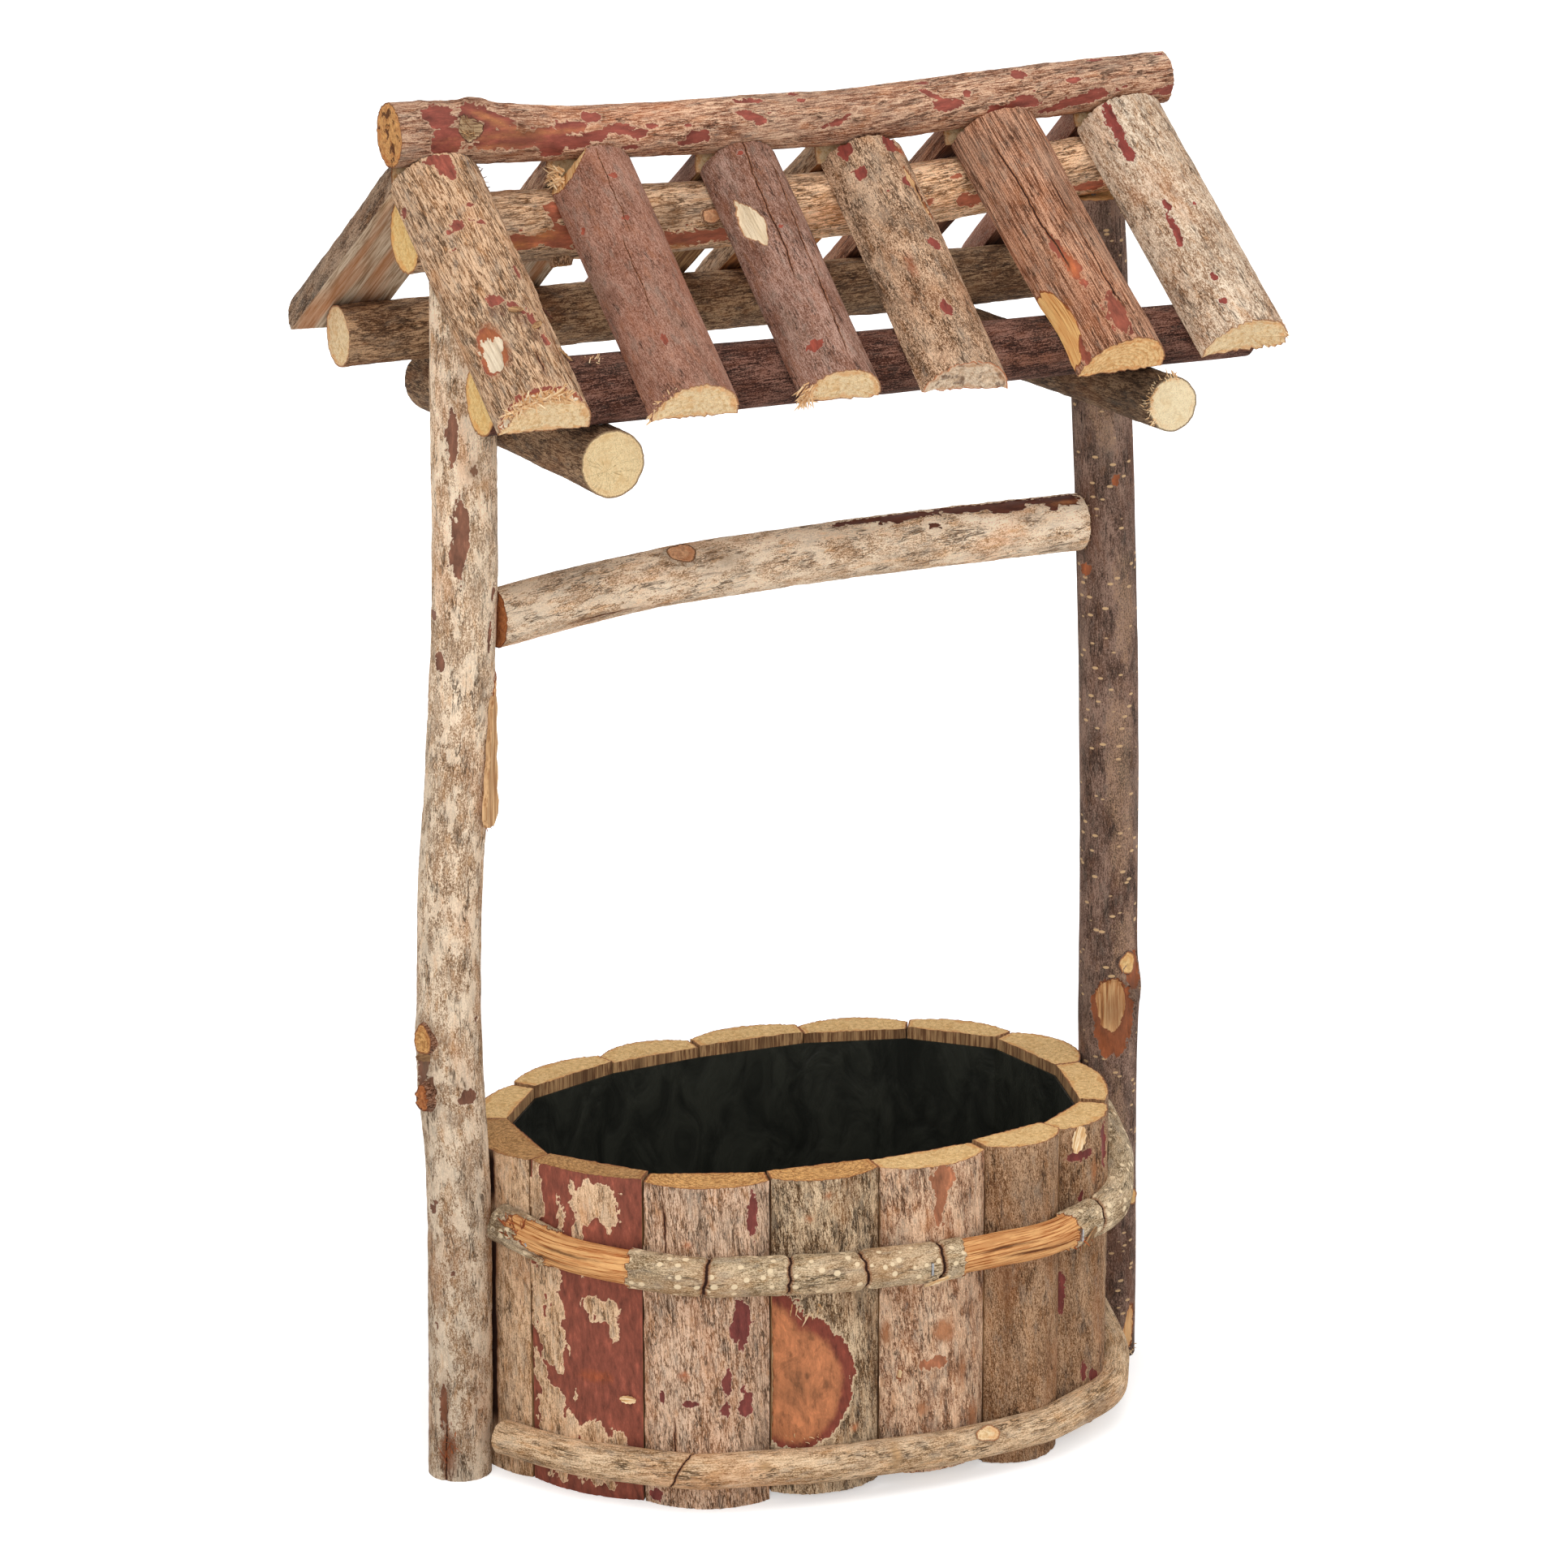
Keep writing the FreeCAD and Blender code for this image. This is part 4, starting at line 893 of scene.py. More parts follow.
postLooks = {
    "left_post": dict(bark="cream", seed=3, twist=0.002, shades=[(0, 0.78), (0.16, 0.83), (0.35, 0.97), (0.6, 1.1),
        (0.8, 1.2), (1, 1.24)], knots=[(0.381, 17, 10, 2), (0.331, 21, 10, 2.2), (0.356, 18, 7, 1.4),
        (0.845, 86, 5, 0.5)], splits=[(-0.06, 0.1, 37, 4)], peels=[(0.873, 47, 13.1, 2.8), (0.845, 86, 2.4, 1.8),
        (0.81, 62, 8, 3), (0.79, 59, 15, 3.6), (0.775, 54, 8, 3.8), (0.726, 356, 2.1, 3.4), (0.689, 21, 4.5, 2.4),
        (0.706, 120, 7.5, 1.6), (0.743, 129, 4.2, 1.3), (0.331, 100, 3.4, 4.8), (0.395, 124, 1.5, 1.7),
        (0.24, 21, 1.5, 1.4), (0.065, 34, 11, 1.5), (0.133, 21, 2.2, 1.2), (0.234, 13, 1.9, 2),
        (0.181, 56, 1.3, 1.2), (0.357, 12, 12, 4.4), (0.34, 26, 6, 3)], ragged=3.6, inner=(124, 84, 66),
        glows=[(0.022, 43, 12, 4.2), (0.06, 36, 12, 1.6)], glowColour=(146, 88, 56), glowAmount=0.85,
        stains=[(0.381, 56, 3, 3), (0.314, 69, 4, 4), (0.36, 20, 9, 7)], stainColour=(140, 116, 96),
        bares=[(0.613, 149, 31, 4.6)], bareDepth=-1, wood=woodOrange,
        twigs=[(0.381, 20, 6.2, 5, 2.6, "amber", "ridgedBrown"),
        (0.331, 19, 5.6, 4.6, 3.4, "striped", "ridgedBrown", 1.6)],
        tufts=[(0.331, 19, 9, 0.008, 22, 3.4, 0.8, 0.5, (0.2, 1, 0.3), "rust"),
        (0.03, 43, 14, 0.016, 46, 7, 0.6, 0.25, (1, 0.12, 0.1), "rust"),
        (0.561, 150, 7, 0.008, 26, 6, 0.8, 0.3, (-1, 0.4, 0.2), "rust")],
        chips=[(0.606, 134, 180, 56, 13, 1.6, "tan", 2.4, True), (0.366, 24, 110, 12, 5, 1.6, "brown")]),
    "right_post": dict(bark="dark", relief="smooth", seed=5, twist=0.001, shades=[(0, 1), (0.2, 1.04), (0.35, 1.1),
        (0.7, 1.1), (1, 1.05)], knots=[(0.313, 73, 15, 1.6), (0.145, 111, 6, 1), (0.33, 118, 8, 2)],
        peels=[(0.768, 86, 2.4, 2.2), (0.693, 13, 3, 3.2), (0.306, 72, 18, 10), (0.345, 118, 9, 6)],
        inner=(148, 84, 52), stains=[(0.5, 84, 50, 7), (0.84, 60, 24, 7), (0.36, 96, 26, 8), (0.66, 100, 30, 5),
        (0.2, 80, 30, 5)], stainColour=(172, 138, 110), bares=[(0.318, 68, 13, 7.2), (0.028, 115, 9.5, 3.6, 8)],
        wood=((196, 126, 72), (230, 182, 128)), twigs=[(0.145, 112, 3.4, 2.8, 1.6, "golden"),
        (0.353, 100, 4.4, 3.8, 0.9, "golden")], tufts=[(0.006, 96, 50, 0.004, 40, 3.2, 0.7, 0.4, (-0.2, 0.9, 0))]),
}
for node, look in postLooks.items():
    wooden(node, roundLog(node, upward, toFront), look)
print("posts done")

# round logs: degrees from the top round the front

logLooks = {
    "winch_bar": dict(bark="cream", seed=7, light=1.14, end="striped", shades=[(0, 1.04), (0.5, 1.07), (1, 1.14)],
        knots=[(0.297, 39, 8, 0.9), (0.37, 60, 6, 0.5)], splits=[(0.3, 0.37, 84), (0.1, 0.24, 128)], crackDepth=0.5,
        peels=[(0.6, 10, 17, 2.4), (0.69, 10, 22, 3.8), (0.789, 12, 20, 4), (0.87, 14, 20, 4.2),
        (0.965, 16, 12, 5.2), (0.73, 48, 3.2, 2.3), (0.95, 200, 20, 4)], inner=(98, 56, 42),
        glows=[(0.965, 26, 6, 1.5)], stains=[(0.335, 66, 4.5, 3.6), (0.345, 40, 5, 3), (0.092, 2, 5.1, 2.6),
        (0.151, 36, 3, 2.6), (0.14, 125, 22, 3), (0.3, 140, 20, 3), (0.9, 60, 8, 4)], stainColour=(126, 98, 76),
        twigs=[(0.299, 34, 5.8, 4.6, 1)], tufts=[(0.998, 100, 90, 0.004, 40, 2.2, 0.5, 0.5, (0.8, 0.4, 0))]),
    "centre_beam": dict(bark="creamTan", relief="fissured", seed=9, end="sunny", shades=[(0, 1), (0.4, 1.06),
        (0.6, 1.42), (1, 1.5)], knots=[(0.395, 81, 6, 1), (0.34, 76, 6, 0.6)], peels=[(0.184, 60, 4.4, 4.9),
        (0.13, 106, 22, 3.8), (0.2, 104, 16, 4.2), (0.372, 118, 26, 4.2), (0.744, 56, 1.9, 1.1), (0.7, 94, 3.1, 1.8),
        (0.762, 104, 6.2, 3.6), (0.937, 124, 12, 3.1), (0.5, 10, 6, 2), (0.4, 330, 9, 3)], inner=(156, 88, 64),
        glows=[(0.165, 96, 6, 2), (0.13, 112, 8, 1.6), (0.35, 140, 6, 2)], glowColour=(206, 134, 80),
        stains=[(0.14, 150, 34, 4), (0.34, 76, 9, 4), (0.4, 160, 20, 4)], stainColour=(96, 78, 64),
        twigs=[(0.395, 80, 4.4, 3, 1.4), (0.202, 163, 4.2, 4, 2.6, "brown")],
        tufts=[(0.34, 96, 14, 0.02, 14, 3, 0.7, 0.5, (0.6, 0.5, 0.2))]),
    "ridge_log": dict(bark="tan", relief="fissured", seed=11, end="spotted", twist=0.003, shades=[(0, 0.89),
        (0.09, 0.94), (0.15, 1.12), (0.3, 1.14), (0.5, 1.06), (0.75, 1.06), (1, 1.02)], knots=[(0.102, 12, 5.5, 3),
        (0.086, 66, 6, 2), (0.05, 0, 6, 0.8), (0.15, 88, 12, 0.5)], peels=[(0.05, 47, 7.9, 5.6),
        (0.054, 94, 7.2, 6.1), (0.092, 40, 6.5, 4), (0.162, 90, 16.7, 3.6, -6), (0.212, 69, 9.3, 3, -6),
        (0.238, 47, 4.4, 3.1), (0.129, 103, 18.5, 2.6), (0.188, 124, 5.9, 4), (0.242, 90, 7.4, 2.5, -6),
        (0.275, 77, 7.4, 2.5), (0.296, 86, 4.4, 2.2), (0.312, 73, 3.7, 1.6), (0.288, 120, 5.2, 1.2),
        (0.371, 103, 6, 2.9), (0.358, 116, 4.5, 1.6), (0.442, 26, 6.4, 1.8), (0.437, 64, 6.8, 2.2, 20),
        (0.45, 77, 3, 2), (0.463, 60, 1.5, 1.1), (0.358, 77, 1.5, 1), (0.504, 9, 3.4, 1.7), (0.508, 34, 1.9, 1.2),
        (0.454, 73, 1.9, 1.5), (0.55, 90, 7.6, 1.6, -15), (0.671, 17, 3.5, 2), (0.673, 51, 4.5, 1.6, 35),
        (0.696, 81, 6.9, 2.9), (0.721, 64, 1.9, 2), (0.796, 30, 3.5, 3.2), (0.863, 64, 4, 1.4),
        (0.792, 99, 9.4, 3.2), (0.771, 107, 7.8, 2.2), (0.871, 111, 17.9, 3.2, -10), (0.896, 94, 5.6, 2),
        (0.904, 9, 4, 1.5), (0.992, 13, 2.4, 1.6), (0.987, 111, 6.5, 2.4), (0.12, 60, 10, 4.2, 20),
        (0.12, 92, 15, 4.4), (0.2, 102, 16, 3.2), (0.3, 220, 16, 5), (0.62, 300, 12, 4), (0.8, 250, 18, 5)],
        ragged=3.6, inner=(140, 74, 62), glows=[(0.15, 84, 20, 1, -4), (0.2, 78, 12, 0.8, -5), (0.11, 110, 10, 0.8),
        (0.108, 50, 6, 1.6, 20), (0.122, 62, 8, 1.9, 25), (0.14, 76, 8, 1.3, 15)], glowColour=(202, 132, 86),
        bares=[(0.085, 72, 5, 4.2)], bareRagged=3.6, wood=((138, 104, 72), (216, 184, 142)), woodDeep=0.45,
        woodRim=(74, 42, 32), endHoles=[(-3, 4, 1.4), (3.5, -1, 1.3), (-1, -5, 1.2)],
        tufts=[(0.083, 74, 18, 0.009, 44, 4.6, 0.6, 0.22, (-0.8, 0.16, 0.5), "brown")]),
    # the front purlin's dark maroon bark and light 0.9 are partly painted shade
    "front_purlin": dict(bark="plum", relief="smooth", seed=13, light=0.9, end="sunny", stains=[(0.13, 20, 4, 3),
        (0.7, 100, 20, 4)], stainColour=(140, 92, 70),
        tufts=[(0.135, 22, 10, 0.01, 16, 3, 0.9, 0.5, (0.4, 0.7, 0.3)),
        (0.864, 14, 9, 0.006, 9, 2.2, 0.7, 0.5, (0.3, 0.8, 0.3))]),
    "back_purlin": dict(bark="olive", relief="fissured", seed=15, end="yellow", twist=0.003, shades=[(0, 1.56),
        (0.12, 1.5), (0.35, 1.18), (1, 1.14)]),
}
for node, look in logLooks.items():
    wooden(node, roundLog(node, toRight, toFront), look)
crossLooks = {
    "left_cross_beam": dict(bark="olive", seed=17, light=1.05, end="clean"),
    "right_cross_beam": dict(bark="olive", seed=19, light=0.9, end="pale",
        tufts=[(0.004, -60, 75, 0.01, 70, 3.4, 0.8, 0.35, (0.5, 0.7, 0), "fibre", 0.8)]),
}
for node, look in crossLooks.items():
    wooden(node, roundLog(node, toBack, toRight, askew=True), look)
print("logs done")

# slats: millimetres from the crown, plus to the right on the front ones

slatLooks = {
    "front_slat_1": dict(bark="creamTan", relief="fissured", seed=21, light=0.97, twist=0.003, torn=(0.4, 0.9),
        shades=[(0, 1.07), (0.35, 1.07), (0.6, 1), (1, 1)], splits=[(0.72, 0.98, 12), (0.8, 0.95, 0)],
        crackDepth=0.7, peels=[(0.6, -7, 3, 3), (0.645, 0, 3.4, 2.6, 20), (0.695, 5, 5, 2, 10), (0.775, 7, 3, 1.8),
        (0.45, 20, 9, 1.3), (0.052, -3, 6, 4.4), (0.021, -5, 2.4, 6), (0.094, -2, 3, 2.1), (0.115, -29, 2.1, 2.3),
        (0.285, -9, 2.6, 3.6), (0.3, -12, 1.8, 2.6), (0.365, -14, 0.9, 2.2), (0.219, 0, 1.3, 1.8),
        (0.281, -2, 0.7, 1.4), (0.292, 2, 1.2, 2.2), (0.49, 9, 4.1, 1.6), (0.765, -17, 11.5, 6.4),
        (0.99, -6, 4.4, 18)], ragged=3.2, inner=(142, 76, 62), glows=[(0.762, -17, 12, 7)],
        glowColour=(176, 104, 66), stains=[(0.625, -8, 4.2, 4.2), (0.62, -3, 4.5, 4.2, 20), (0.66, 3, 6, 4),
        (0.698, 1, 6.3, 3.8), (0.76, 3, 5.1, 3.6), (0.8, 9, 5, 3)], stainColour=(104, 68, 56),
        bares=[(0.775, -18, 8.6, 4.6), (0.755, -13.5, 4, 2.6), (0.995, -7, 3.2, 19)], bareDepth=1.6, bareRagged=3.2,
        wood=((228, 206, 176), (242, 224, 196)), woodDeep=0.86, woodRim=(168, 98, 62),
        tufts=[(0.99, -8, 15, 0.012, 110, 6.5, 1, 0.55, (0.6, 0.7, 0.1), "fibre", 0.8),
        (0.02, 22, 4, 0.06, 26, 4, 0.6, 0.4, (0.4, 0.5, 0.3), "dark")],
        chips=[(0.66, -1, 70, 6, 3, 1.4, "brown", 0.5), (0.72, 5, 120, 5, 2.6, 1.6, "brown", 0.5),
        (0.8, 17, 40, 7, 3, 1.8, "brown", 0.5), (0.62, 19, 60, 6, 2.4, 1.6, "dark", 0.5)]),
    "front_slat_2": dict(bark="mauve", relief="smooth", seed=22, torn=(0.4, 1.1), knots=[(0.547, -20, 3.6, 0.9)],
        splits=[(0, 0.4, -2, -5), (0.36, 0.72, -7, -6)], crackDepth=0.25, crackWidth=0.4,
        peels=[(0.126, 0, 1.6, 2.6), (0.305, -2, 1.2, 1.6), (0.274, -22, 1.6, 1.4), (0.8, -8, 3.2, 1.4)], ragged=3.4,
        inner=(150, 78, 60), slices=[(0.03, -25, 3.4, -0.5, 0.2)], wood=((206, 142, 80), (240, 204, 150)),
        tufts=[(0.03, -24, 4, 0.03, 44, 5.5, 1.2, 0.4, (-0.5, 0.7, -0.4), "fibre", 2.4),
        (0.985, -20, 9, 0.012, 50, 4.6, 1, 0.5, (0.8, 0.3, -0.4))]),
    "front_slat_3": dict(bark="duskyMauve", relief="smooth", seed=23, torn=(0.4, 1), splits=[(-0.1, 0.62, -3, -4),
        (0.08, 0.95, 7, -6)], crackDepth=0.7, crackWidth=0.75, peels=[(0.043, -6, 1, 1.2), (0.376, -3, 1.3, 1.2),
        (0.871, -10, 2.5, 3.6)], inner=(150, 72, 56), bares=[(0.323, -14, 14.5, 5.8, 9)], barePower=1.2,
        wood=((238, 212, 174), (248, 226, 192)), woodDeep=0.88, woodRim=(190, 140, 100), woodEdge=0.3,
        tufts=[(0.985, -24, 6, 0.02, 80, 7, 1.2, 0.4, (0.8, 0.35, -0.5))]),
    "front_slat_4": dict(bark="greyTan", seed=24, light=0.99, end="grey", torn=(0.7, 0.9),
        knots=[(0.564, -9, 3.4, 0.9)], splits=[(0.16, 0.4, 13, 3)], peels=[(0.02, -15, 5, 3.8), (0.03, 6, 6, 3.6),
        (0.045, 9, 2.6, 5.6), (0.138, -13, 4, 3.1), (0.245, -5, 1.1, 1.4), (0.2, 6, 3, 2), (0.479, 6, 3.5, 3.6),
        (0.766, -3, 5.1, 2.6)], ragged=3.4, inner=(138, 66, 56), glows=[(0.045, 12, 3, 3), (0.564, -9, 5, 1.6)],
        glowColour=(190, 104, 70), bares=[(0.191, 10, 7, 1.9, 12), (0.29, 12, 8, 2.2, 10)],
        wood=((202, 148, 98), (232, 196, 146))),
    "front_slat_5": dict(bark="ridgedBrown", relief="fibrous", seed=25, light=1.08, end="ringed", twist=0.001,
        lumps=0.8, torn=(0.4, 0.7), splits=[(0.3, 0.9, 2, 2), (0.1, 0.7, -12, 3), (0.45, 1, 15, 2)], crackDepth=0.6,
        peels=[(0.6, -10, 10, 1.8, 6), (0.68, -9, 9, 2.8, 6), (0.892, -1, 11.2, 5), (0.94, -22, 9, 3)],
        inner=(148, 80, 62), glows=[(0.665, -9, 7, 2.4)], glowColour=(228, 128, 78),
        slices=[(0.83, -29, 2, 0, 0.05, 18)], wood=((226, 148, 80), (250, 200, 130)), woodDeep=0.8,
        woodRim=(150, 84, 48), woodEdge=0.15),
    "front_slat_6": dict(bark="silver", seed=26, torn=(0.6, 1), peels=[(0.11, -15, 15.5, 2.9), (0.03, -14, 5, 2),
        (0.22, -15.5, 4.4, 2.4), (0.47, -12, 3.6, 1.9), (0.538, -14, 8.5, 1.4), (0.6, -15, 4, 1.6),
        (0.495, -1, 1, 1.6), (0.791, -9, 3.2, 1.6), (0.89, -11, 1.6, 2)], ragged=3, inner=(140, 66, 58),
        tufts=[(0.98, 22, 5, 0.02, 22, 4, 0.8, 0.4, (0.8, 0.3, 0.3))]),
    "back_slat_1": dict(bark="greyTan", seed=31, light=0.8, split="pale", peels=[(0.3, 6, 12, 4), (0.7, -8, 6, 3)]),
    "back_slat_2": dict(bark="tan", relief="fissured", seed=32, split="pale", peels=[(0.2, -6, 8, 3),
        (0.6, 5, 10, 3)]),
    "back_slat_3": dict(bark="duskyMauve", relief="smooth", seed=33, splits=[(0.1, 0.8, 4)]),
    "back_slat_4": dict(bark="creamTan", relief="fissured", seed=34, light=0.9, split="orange",
        peels=[(0.5, 0, 9, 4)]),
    "back_slat_5": dict(bark="ridgedBrown", relief="fibrous", seed=35, split="dark"),
    "back_slat_6": dict(bark="mauve", relief="smooth", seed=36, split="dark", peels=[(0.6, -4, 8, 3)]),
}
for node, look in slatLooks.items():
    look.setdefault("end", "yellow")
    wooden(node, splitLog(node, downward=True), look)
print("slats done")

# staves: millimetres from the crown, plus to the left as seen from outside

staveLooks = {
    "stave_01": dict(bark="staveTan", seed=51, light=1.1, end="brown",
        # wide cracks along the left edge stand for the gap against the left post, their dark middles painted shadow
        splits=[(start, end, turn) for turn in (-9.0, -10.3, -11.6) for start, end in ((0.12, 0.78), (0.82, 1.04))],
        crackDepth=0.6, crackWidth=3, glows=[(0.184, -10, 2.4, 3), (0.4, -14, 2, 2)], glowColour=(176, 128, 84)),
    "stave_02": dict(bark="staveTan", seed=52, light=1.16, end="brown", peels=[(0.6, 0, 110, 60)],
        crusts=[(0.923, -7, 9.2, 10.5), (0.96, -4, 4, 7), (0.875, -13, 4.4, 5.4), (0.79, 1, 10.3, 2.2),
        (0.837, 10, 10, 2.2), (0.9, 24, 22, 3.6), (0.76, -11, 2.6, 2.6), (0.577, 24, 13, 5.4), (0.56, 14, 10, 5.5),
        (0.47, 15, 11, 9), (0.64, 19, 8, 8), (0.41, 16, 7, 9), (0.35, 21, 12, 5), (0.25, 17, 10, 9), (0.2, 17, 9, 8),
        (0.577, -11, 4.6, 5.2), (0.6, -8, 3, 8), (0.538, -16, 4.5, 2.2), (0.19, 8, 9, 7), (0.17, -9, 8, 14),
        (0.06, 10, 5, 6), (0.05, -8, 3, 9), (0.1, 4, 5, 20), (0.12, -18, 4, 5), (0.3, 3, 3, 2), (0.69, -2, 2, 2)],
        rim=0.9, rimWidth=1.1, inner=(138, 76, 60), glows=[(0.375, -7, 3, 7)], glowColour=(176, 92, 60),
        stains=[(0.9, 22, 24, 4)], stainColour=(120, 84, 52), chips=[(0.318, -22, 80, 7, 3.4, 1)]),
    "stave_03": dict(bark="staveGrey", relief="fissured", seed=53, light=1.12, end="amber",
        splits=[(0.75, 0.97, 18, 1), (0.08, 0.3, 14, 1), (0.1, 0.2, -10)], crackDepth=0.6, peels=[(0.9, -21, 9, 2.4),
        (0.93, -22, 4, 1.2), (0.573, -16, 10.4, 4.8), (0.395, -9, 5.9, 2.1), (0.311, -8, 3.7, 2.6),
        (0.311, -18, 5.2, 3.8), (0.369, -16, 1.9, 1.1), (0.34, 20, 3, 1.3), (0.33, 7, 1.3, 3.2),
        (0.029, 23, 2.6, 3.2)], ragged=3.4, inner=(124, 64, 58), glows=[(0.825, 8, 1.1, 1.4), (0.417, 10, 1.9, 2.1)],
        glowColour=(206, 122, 82)),
    "stave_04": dict(bark="mottledDark", seed=54, light=1.04, end="amber", knots=[(0.34, 16, 17, 1.2)],
        peels=[(0.36, 16, 31, 26.5), (0.52, 24, 17, 14), (0.743, 26, 1.5, 3)], ragged=4.2, rim=0.95, rimWidth=1.5,
        inner=(132, 66, 52), glows=[(0.35, 18, 27, 23), (0.5, 25, 15, 11), (0.881, 10, 1.1, 1.4),
        (0.95, 2, 1.5, 1.8), (0.198, -11, 1.9, 2)], glowColour=(208, 134, 90), bares=[(0.37, 29.5, 37, 3.4)],
        bareDepth=0.2, bareRagged=0.8, wood=((186, 146, 102), (214, 180, 136)), woodDeep=0.85,
        tufts=[(0.6, 8, 10, 0.02, 26, 5, 0.9, 0.25, (-0.9, 0.25, 0)),
        (0.17, 8, 12, 0.02, 26, 4, 0.9, 0.3, (0.9, 0.25, 0))]),
    "stave_05": dict(bark="pinkBrown", relief="fissured", seed=55, light=1.12, peels=[(0.965, 0, 6, 6.4),
        (0.888, 1, 9.5, 2.8), (0.357, 3, 3, 5.6)], ragged=4.2, inner=(164, 106, 76), glows=[(0.459, -1, 6, 5),
        (0.459, 25, 5.2, 2.4), (0.214, 9, 3.6, 3), (0.143, -19, 6.1, 3.6), (0.316, -11, 7.5, 2)],
        glowColour=(192, 130, 90), bares=[(0.327, 19, 2.4, 1.2)]),
    "stave_06": dict(bark="staveOlive", seed=56, light=1.12, stains=[(0.5, 14, 50, 3), (0.3, -8, 20, 3)],
        stainColour=(108, 72, 48)),
    "stave_07": dict(bark="staveOlive", relief="fissured", seed=57, light=1.08, peels=[(0.905, 13, 2, 9, 30),
        (0.909, -5, 11.3, 3), (0.768, 12, 3, 1.6), (0.465, 22, 9.1, 2.6), (0.182, 25, 4.6, 2.2), (0.182, 9, 4.6, 2),
        (0.141, 2, 4.6, 3.6)], ragged=3.4, inner=(122, 60, 54), glows=[(0.838, 4, 5.3, 1.8)],
        chips=[(0.955, 14, 160, 12, 7, 1.2)]),
    "stave_08": dict(bark="staveOlive", relief="fissured", seed=58, peels=[(0.088, 31, 4.7, 2.6),
        (0.853, 29, 11.4, 2.2), (0.03, 30, 4, 5), (0.4, 24, 9, 1.2)], inner=(122, 60, 54)),
    "stave_09": dict(bark="dark", seed=59),
    "stave_10": dict(bark="cream", seed=60, peels=[(0.5, 4, 10, 5)]),
    "stave_11": dict(bark="deepMaroon", relief="smooth", seed=61),
    "stave_12": dict(bark="tan", relief="fissured", seed=62, peels=[(0.3, -5, 12, 4), (0.8, 6, 8, 4)]),
    "stave_13": dict(bark="staveGrey", relief="fissured", seed=63, peels=[(0.6, 4, 9, 5)]),
    "stave_14": dict(bark="duskyMauve", relief="smooth", seed=64, splits=[(0.1, 0.7, 3)]),
    "stave_15": dict(bark="staveTan", seed=65, peels=[(0.4, 6, 8, 3)]),
}
for node, look in staveLooks.items():
    wooden(node, splitLog(node, downward=False), look)
print("staves done")

# hoops: share from the left post, millimetres up from the crown

hoopLooks = {
    "upper_hoop_front": dict(bark="twig", seed=71, light=1.06, shades=[(0, 0.84), (0.08, 0.88), (0.16, 0.98),
        (1, 1)], splits=[(0.56, 0.66, 3, 2), (0.6, 0.7, -2, -2), (0.06, 0.15, 3, 2), (0.03, 0.12, -3, -1)],
        breaks=[(0.259, 0.1), (0.35, 0.05), (0.435, -0.1), (0.527, 0), (0.757, 0.25)], crackDepth=1.8,
        crackWidth=1.7, stains=[(0, 0, 9, 30), (0.03, 7, 7, 5)], stainColour=(82, 60, 46), bares=[(0.06, 7, 15, 6),
        (0.128, 0, 19, 34), (0.085, 5, 22, 8), (0.608, 1, 21, 38), (0.66, 2, 18, 30)], bareDepth=1.3, bareRagged=3.4,
        wood=((190, 110, 56), (248, 190, 126)), woodDeep=0.5,
        tufts=[(0.712, -6, 3, 0.01, 18, 5, 0.9, 0.35, (0.5, 0.6, -0.5), "rust"),
        (0.03, 4, 5, 0.012, 22, 4, 0.9, 0.4, (-0.4, 0.6, 0.3), "rust")], chips=[(0.52, -9, 215, 11, 4.2, 1),
        (0.722, -4, 240, 13, 5, 2, "brown")]),
    "upper_hoop_back": dict(bark="twig", seed=73, breaks=[(0.3, 0.1), (0.56, -0.1), (0.8, 0)], crackDepth=1.4,
        bares=[(0.45, 2, 20, 7)], wood=woodOrange),
    "lower_hoop_front": dict(bark="barkedTwig", relief="smooth", seed=75, light=1.1, knots=[(0.585, 6, 6, 0.9)],
        splits=[(0.345, 0.375, 5, 3), (0.42, 0.44, -4, 4)], breaks=[(0.231, 0.4)], glows=[(0.32, 4, 3, 2),
        (0.47, 3, 2.5, 6)], glowColour=(214, 170, 122), stains=[(0.43, 2, 8, 2), (0.75, 0, 12, 6)],
        stainColour=(150, 116, 90), twigs=[(0.585, 5.5, 5.6, 3.4, 0.8, "yellow", None, 0.25, 0.15)]),
    "lower_hoop_back": dict(bark="barkedTwig", relief="smooth", seed=77, light=0.95, breaks=[(0.4, 0.1)]),
}
for node, look in hoopLooks.items():
    wooden(node, bentHoop(node), look)
print("hoops done")


# board, film and wire keep their CAD forms

plainLooks = {
    "bottomBoard": dict(on=["base_board"], scales=(60, 900, 900), detail=5, distortion=0.4, low=0.35, high=0.65,
                        dark=(150, 108, 66), light=(206, 166, 116), roughness=0.85, strength=0.4, distance=0.3),
    "darkFilm": dict(on=["planting_film"], scales=(60, 60, 35), detail=5, distortion=1.0, low=0.3, high=0.7,
                     dark=(30, 31, 27), light=(52, 53, 46), roughness=0.42, strength=0.8, distance=2.0),
    "greyWire": dict(on=["frame_brads", "roof_brads", "trough_brads", "hoop_brads", "hoop_staples"],
                     scales=(900, 900, 900), detail=3, distortion=0.0, low=0.3, high=0.7, dark=(128, 130, 134),
                     light=(186, 188, 192), roughness=0.35, strength=0.2, distance=0.1, Metallic=1.0),
}


def coat(name, on, scales, detail, distortion, low, high, dark, light, roughness, strength, distance, **gloss):
    r = recipeFor(name, inWood=False)
    spots = r.noise(r.scaled(r.place, *scales), 1, detail, 0.6, distortion)
    colour = r.mix(r.between(spots, low, high), paint(*dark), light)
    material = r.finish(colour, roughness, spots, strength, distance, **gloss)
    for node in on:
        nodes[node].data.materials.clear()
        nodes[node].data.materials.append(material)


for name, look in plainLooks.items():
    coat(name, **look)
print("board, film and wire done")


# studio

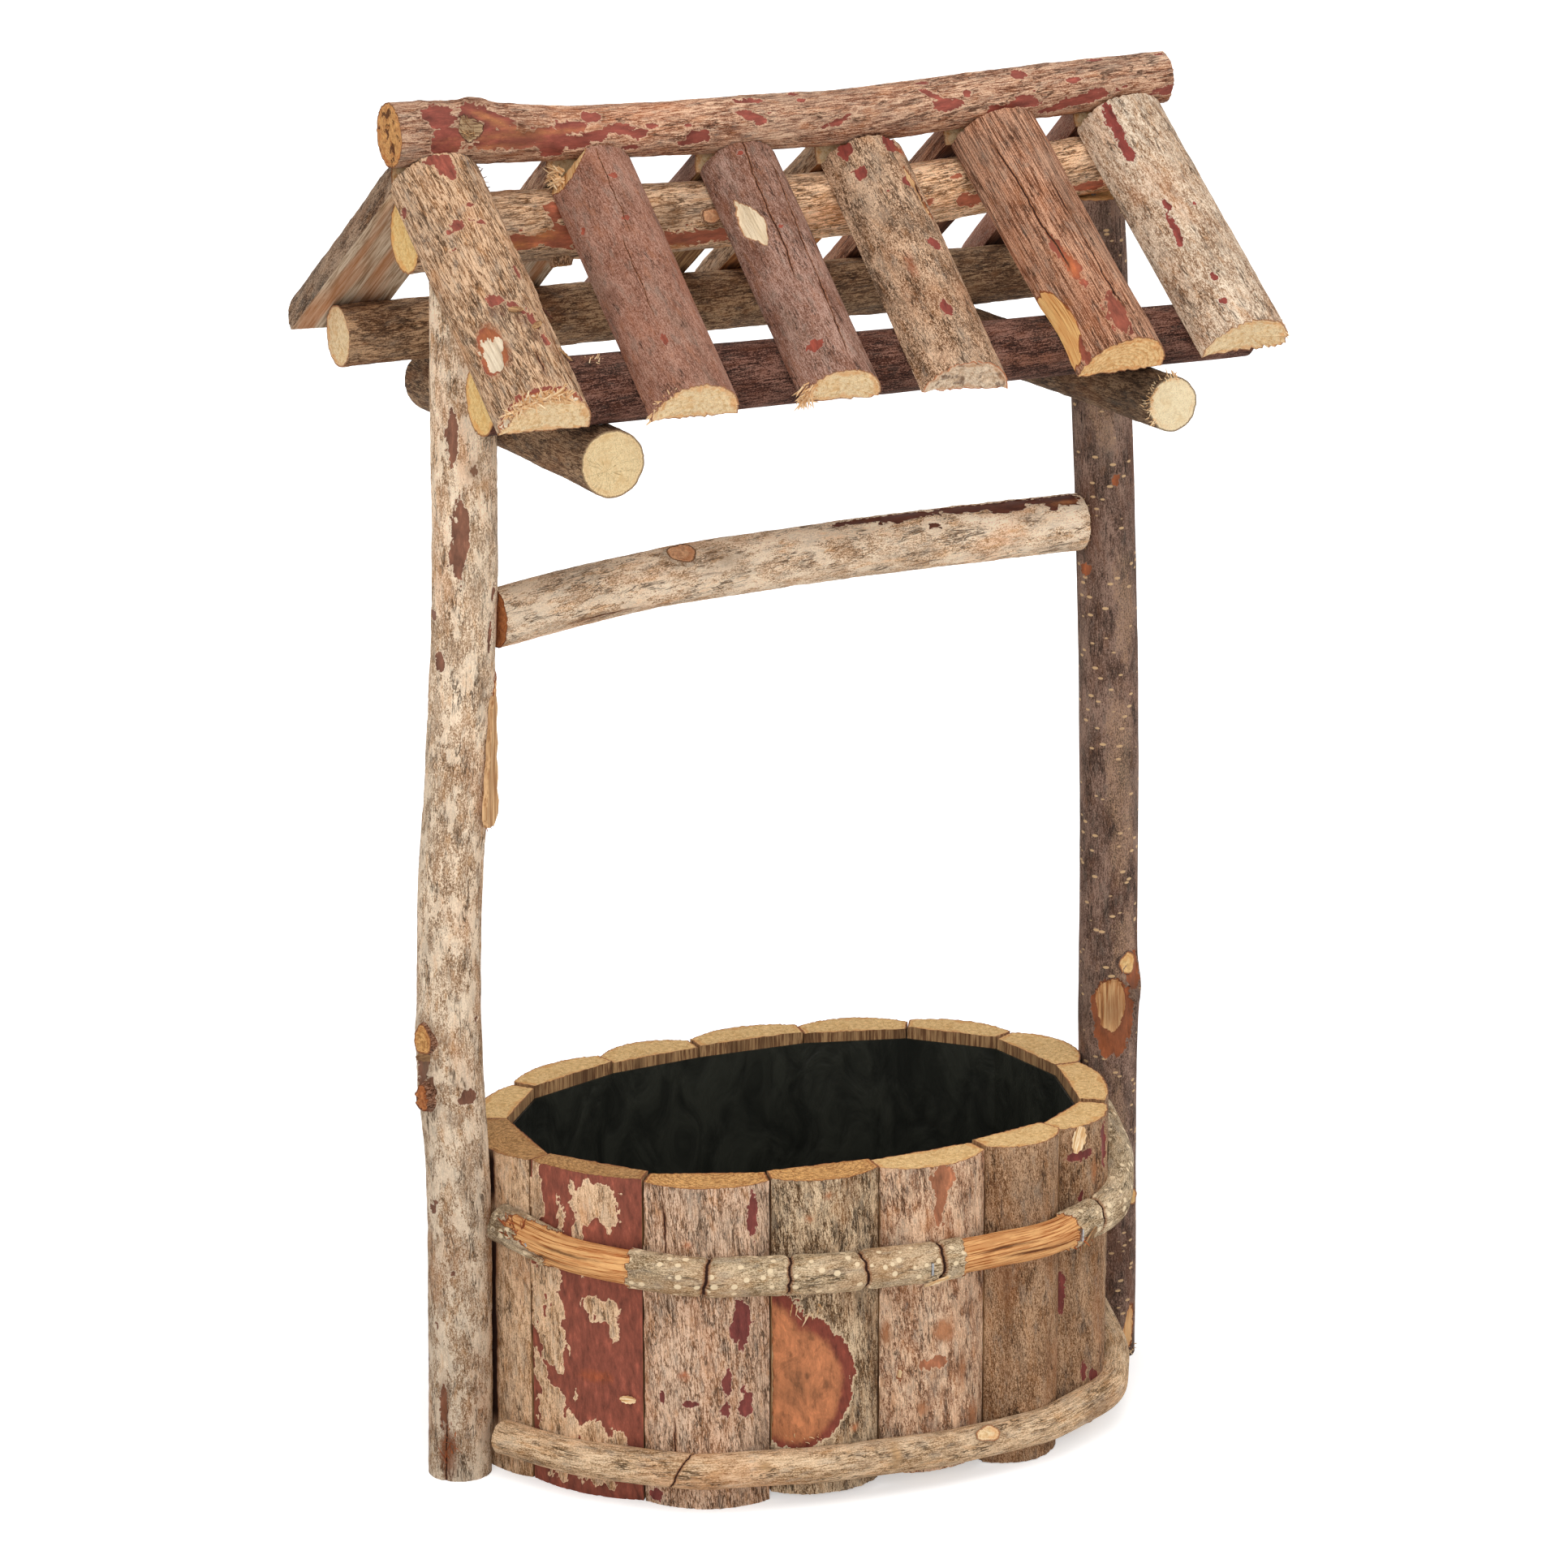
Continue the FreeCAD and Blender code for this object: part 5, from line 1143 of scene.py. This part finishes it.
studio = {"floorSize": 8.0, "floorColour": (0.9, 0.9, 0.9, 1), "floorGlow": (0.42, 0.7), "worldStrength": 0.62,
          "lamps": [("topLamp", (-0.5, -0.9, 2.4), 1.8, 20), ("frontLamp", (-1.3, -2.2, 1.0), 1.2, 14),
                    ("sideLamp", (2.0, -0.8, 1.4), 1.2, 8)], "lampAim": (0, 0, 0.3)}
shot = {"place": (-1.08839, -2.19935, 0.99221), "azimuth": 26.25, "elevation": 15.93, "lens": 134.44, "sensor": 36}


def seenStraight(r):
    path = r.node("LightPath", {})
    return r.maths("MAXIMUM", path.outputs["Is Camera Ray"], path.outputs["Is Glossy Ray"])


def floorMaterial():
    # seen straight on, the floor adds a little light of its own, more of it away from the object
    r = recipeFor("paleFloor", inWood=False)
    plain = r.node("BsdfDiffuse", {"Color": studio["floorColour"], "Roughness": 0.5}).outputs[0]
    away = r.node("VectorMath", {0: r.place}, operation="LENGTH").outputs["Value"]
    glow = r.between(away, 0.3, 1.0, studio["floorGlow"])
    shine = r.node("Emission", {"Color": (1, 1, 1, 1), "Strength": glow}).outputs[0]
    both = r.node("AddShader", {0: plain, 1: shine}).outputs[0]
    r.node("OutputMaterial", {0: r.node("MixShader", {0: seenStraight(r), 1: plain, 2: both}).outputs[0]})
    return r.owner


def makeStudio():
    size = studio["floorSize"]
    mesh = bpy.data.meshes.new("floor")
    mesh.from_pydata([(-size, -size, 0), (size, -size, 0), (size, size, 0), (-size, size, 0)], [], [(0, 1, 2, 3)])
    mesh.materials.append(floorMaterial())
    floor = placed("floor", mesh)
    bpy.context.scene.world = bpy.data.worlds.new("studioWorld")
    r = Recipe(bpy.context.scene.world)
    strength = r.node("MapRange", {0: seenStraight(r), 3: studio["worldStrength"], 4: 1.0}).outputs[0]
    r.node("OutputWorld", {0: r.node("Background", {0: (1, 1, 1, 1), 1: strength}).outputs[0]})
    for name, place, width, power in studio["lamps"]:
        lamp = bpy.data.lights.new(name, "AREA")
        lamp.shape, lamp.size, lamp.energy = "DISK", width, power
        holder = placed(name, lamp)
        holder.location = place
        aim = Vector(studio["lampAim"]) - holder.location
        holder.rotation_euler = aim.to_track_quat("-Z", "Y").to_euler()
    bpy.context.scene.view_settings.view_transform = "Standard"


def makeCamera():
    data = bpy.data.cameras.new("shotCamera")
    data.sensor_width, data.lens = shot["sensor"], shot["lens"]
    camera = placed("shotCamera", data)
    camera.location = shot["place"]
    camera.rotation_euler = (math.radians(90 - shot["elevation"]), 0, math.radians(-shot["azimuth"]))
    bpy.context.scene.camera = camera


makeStudio()
makeCamera()
bpy.context.view_layer.update()
print("scene done")
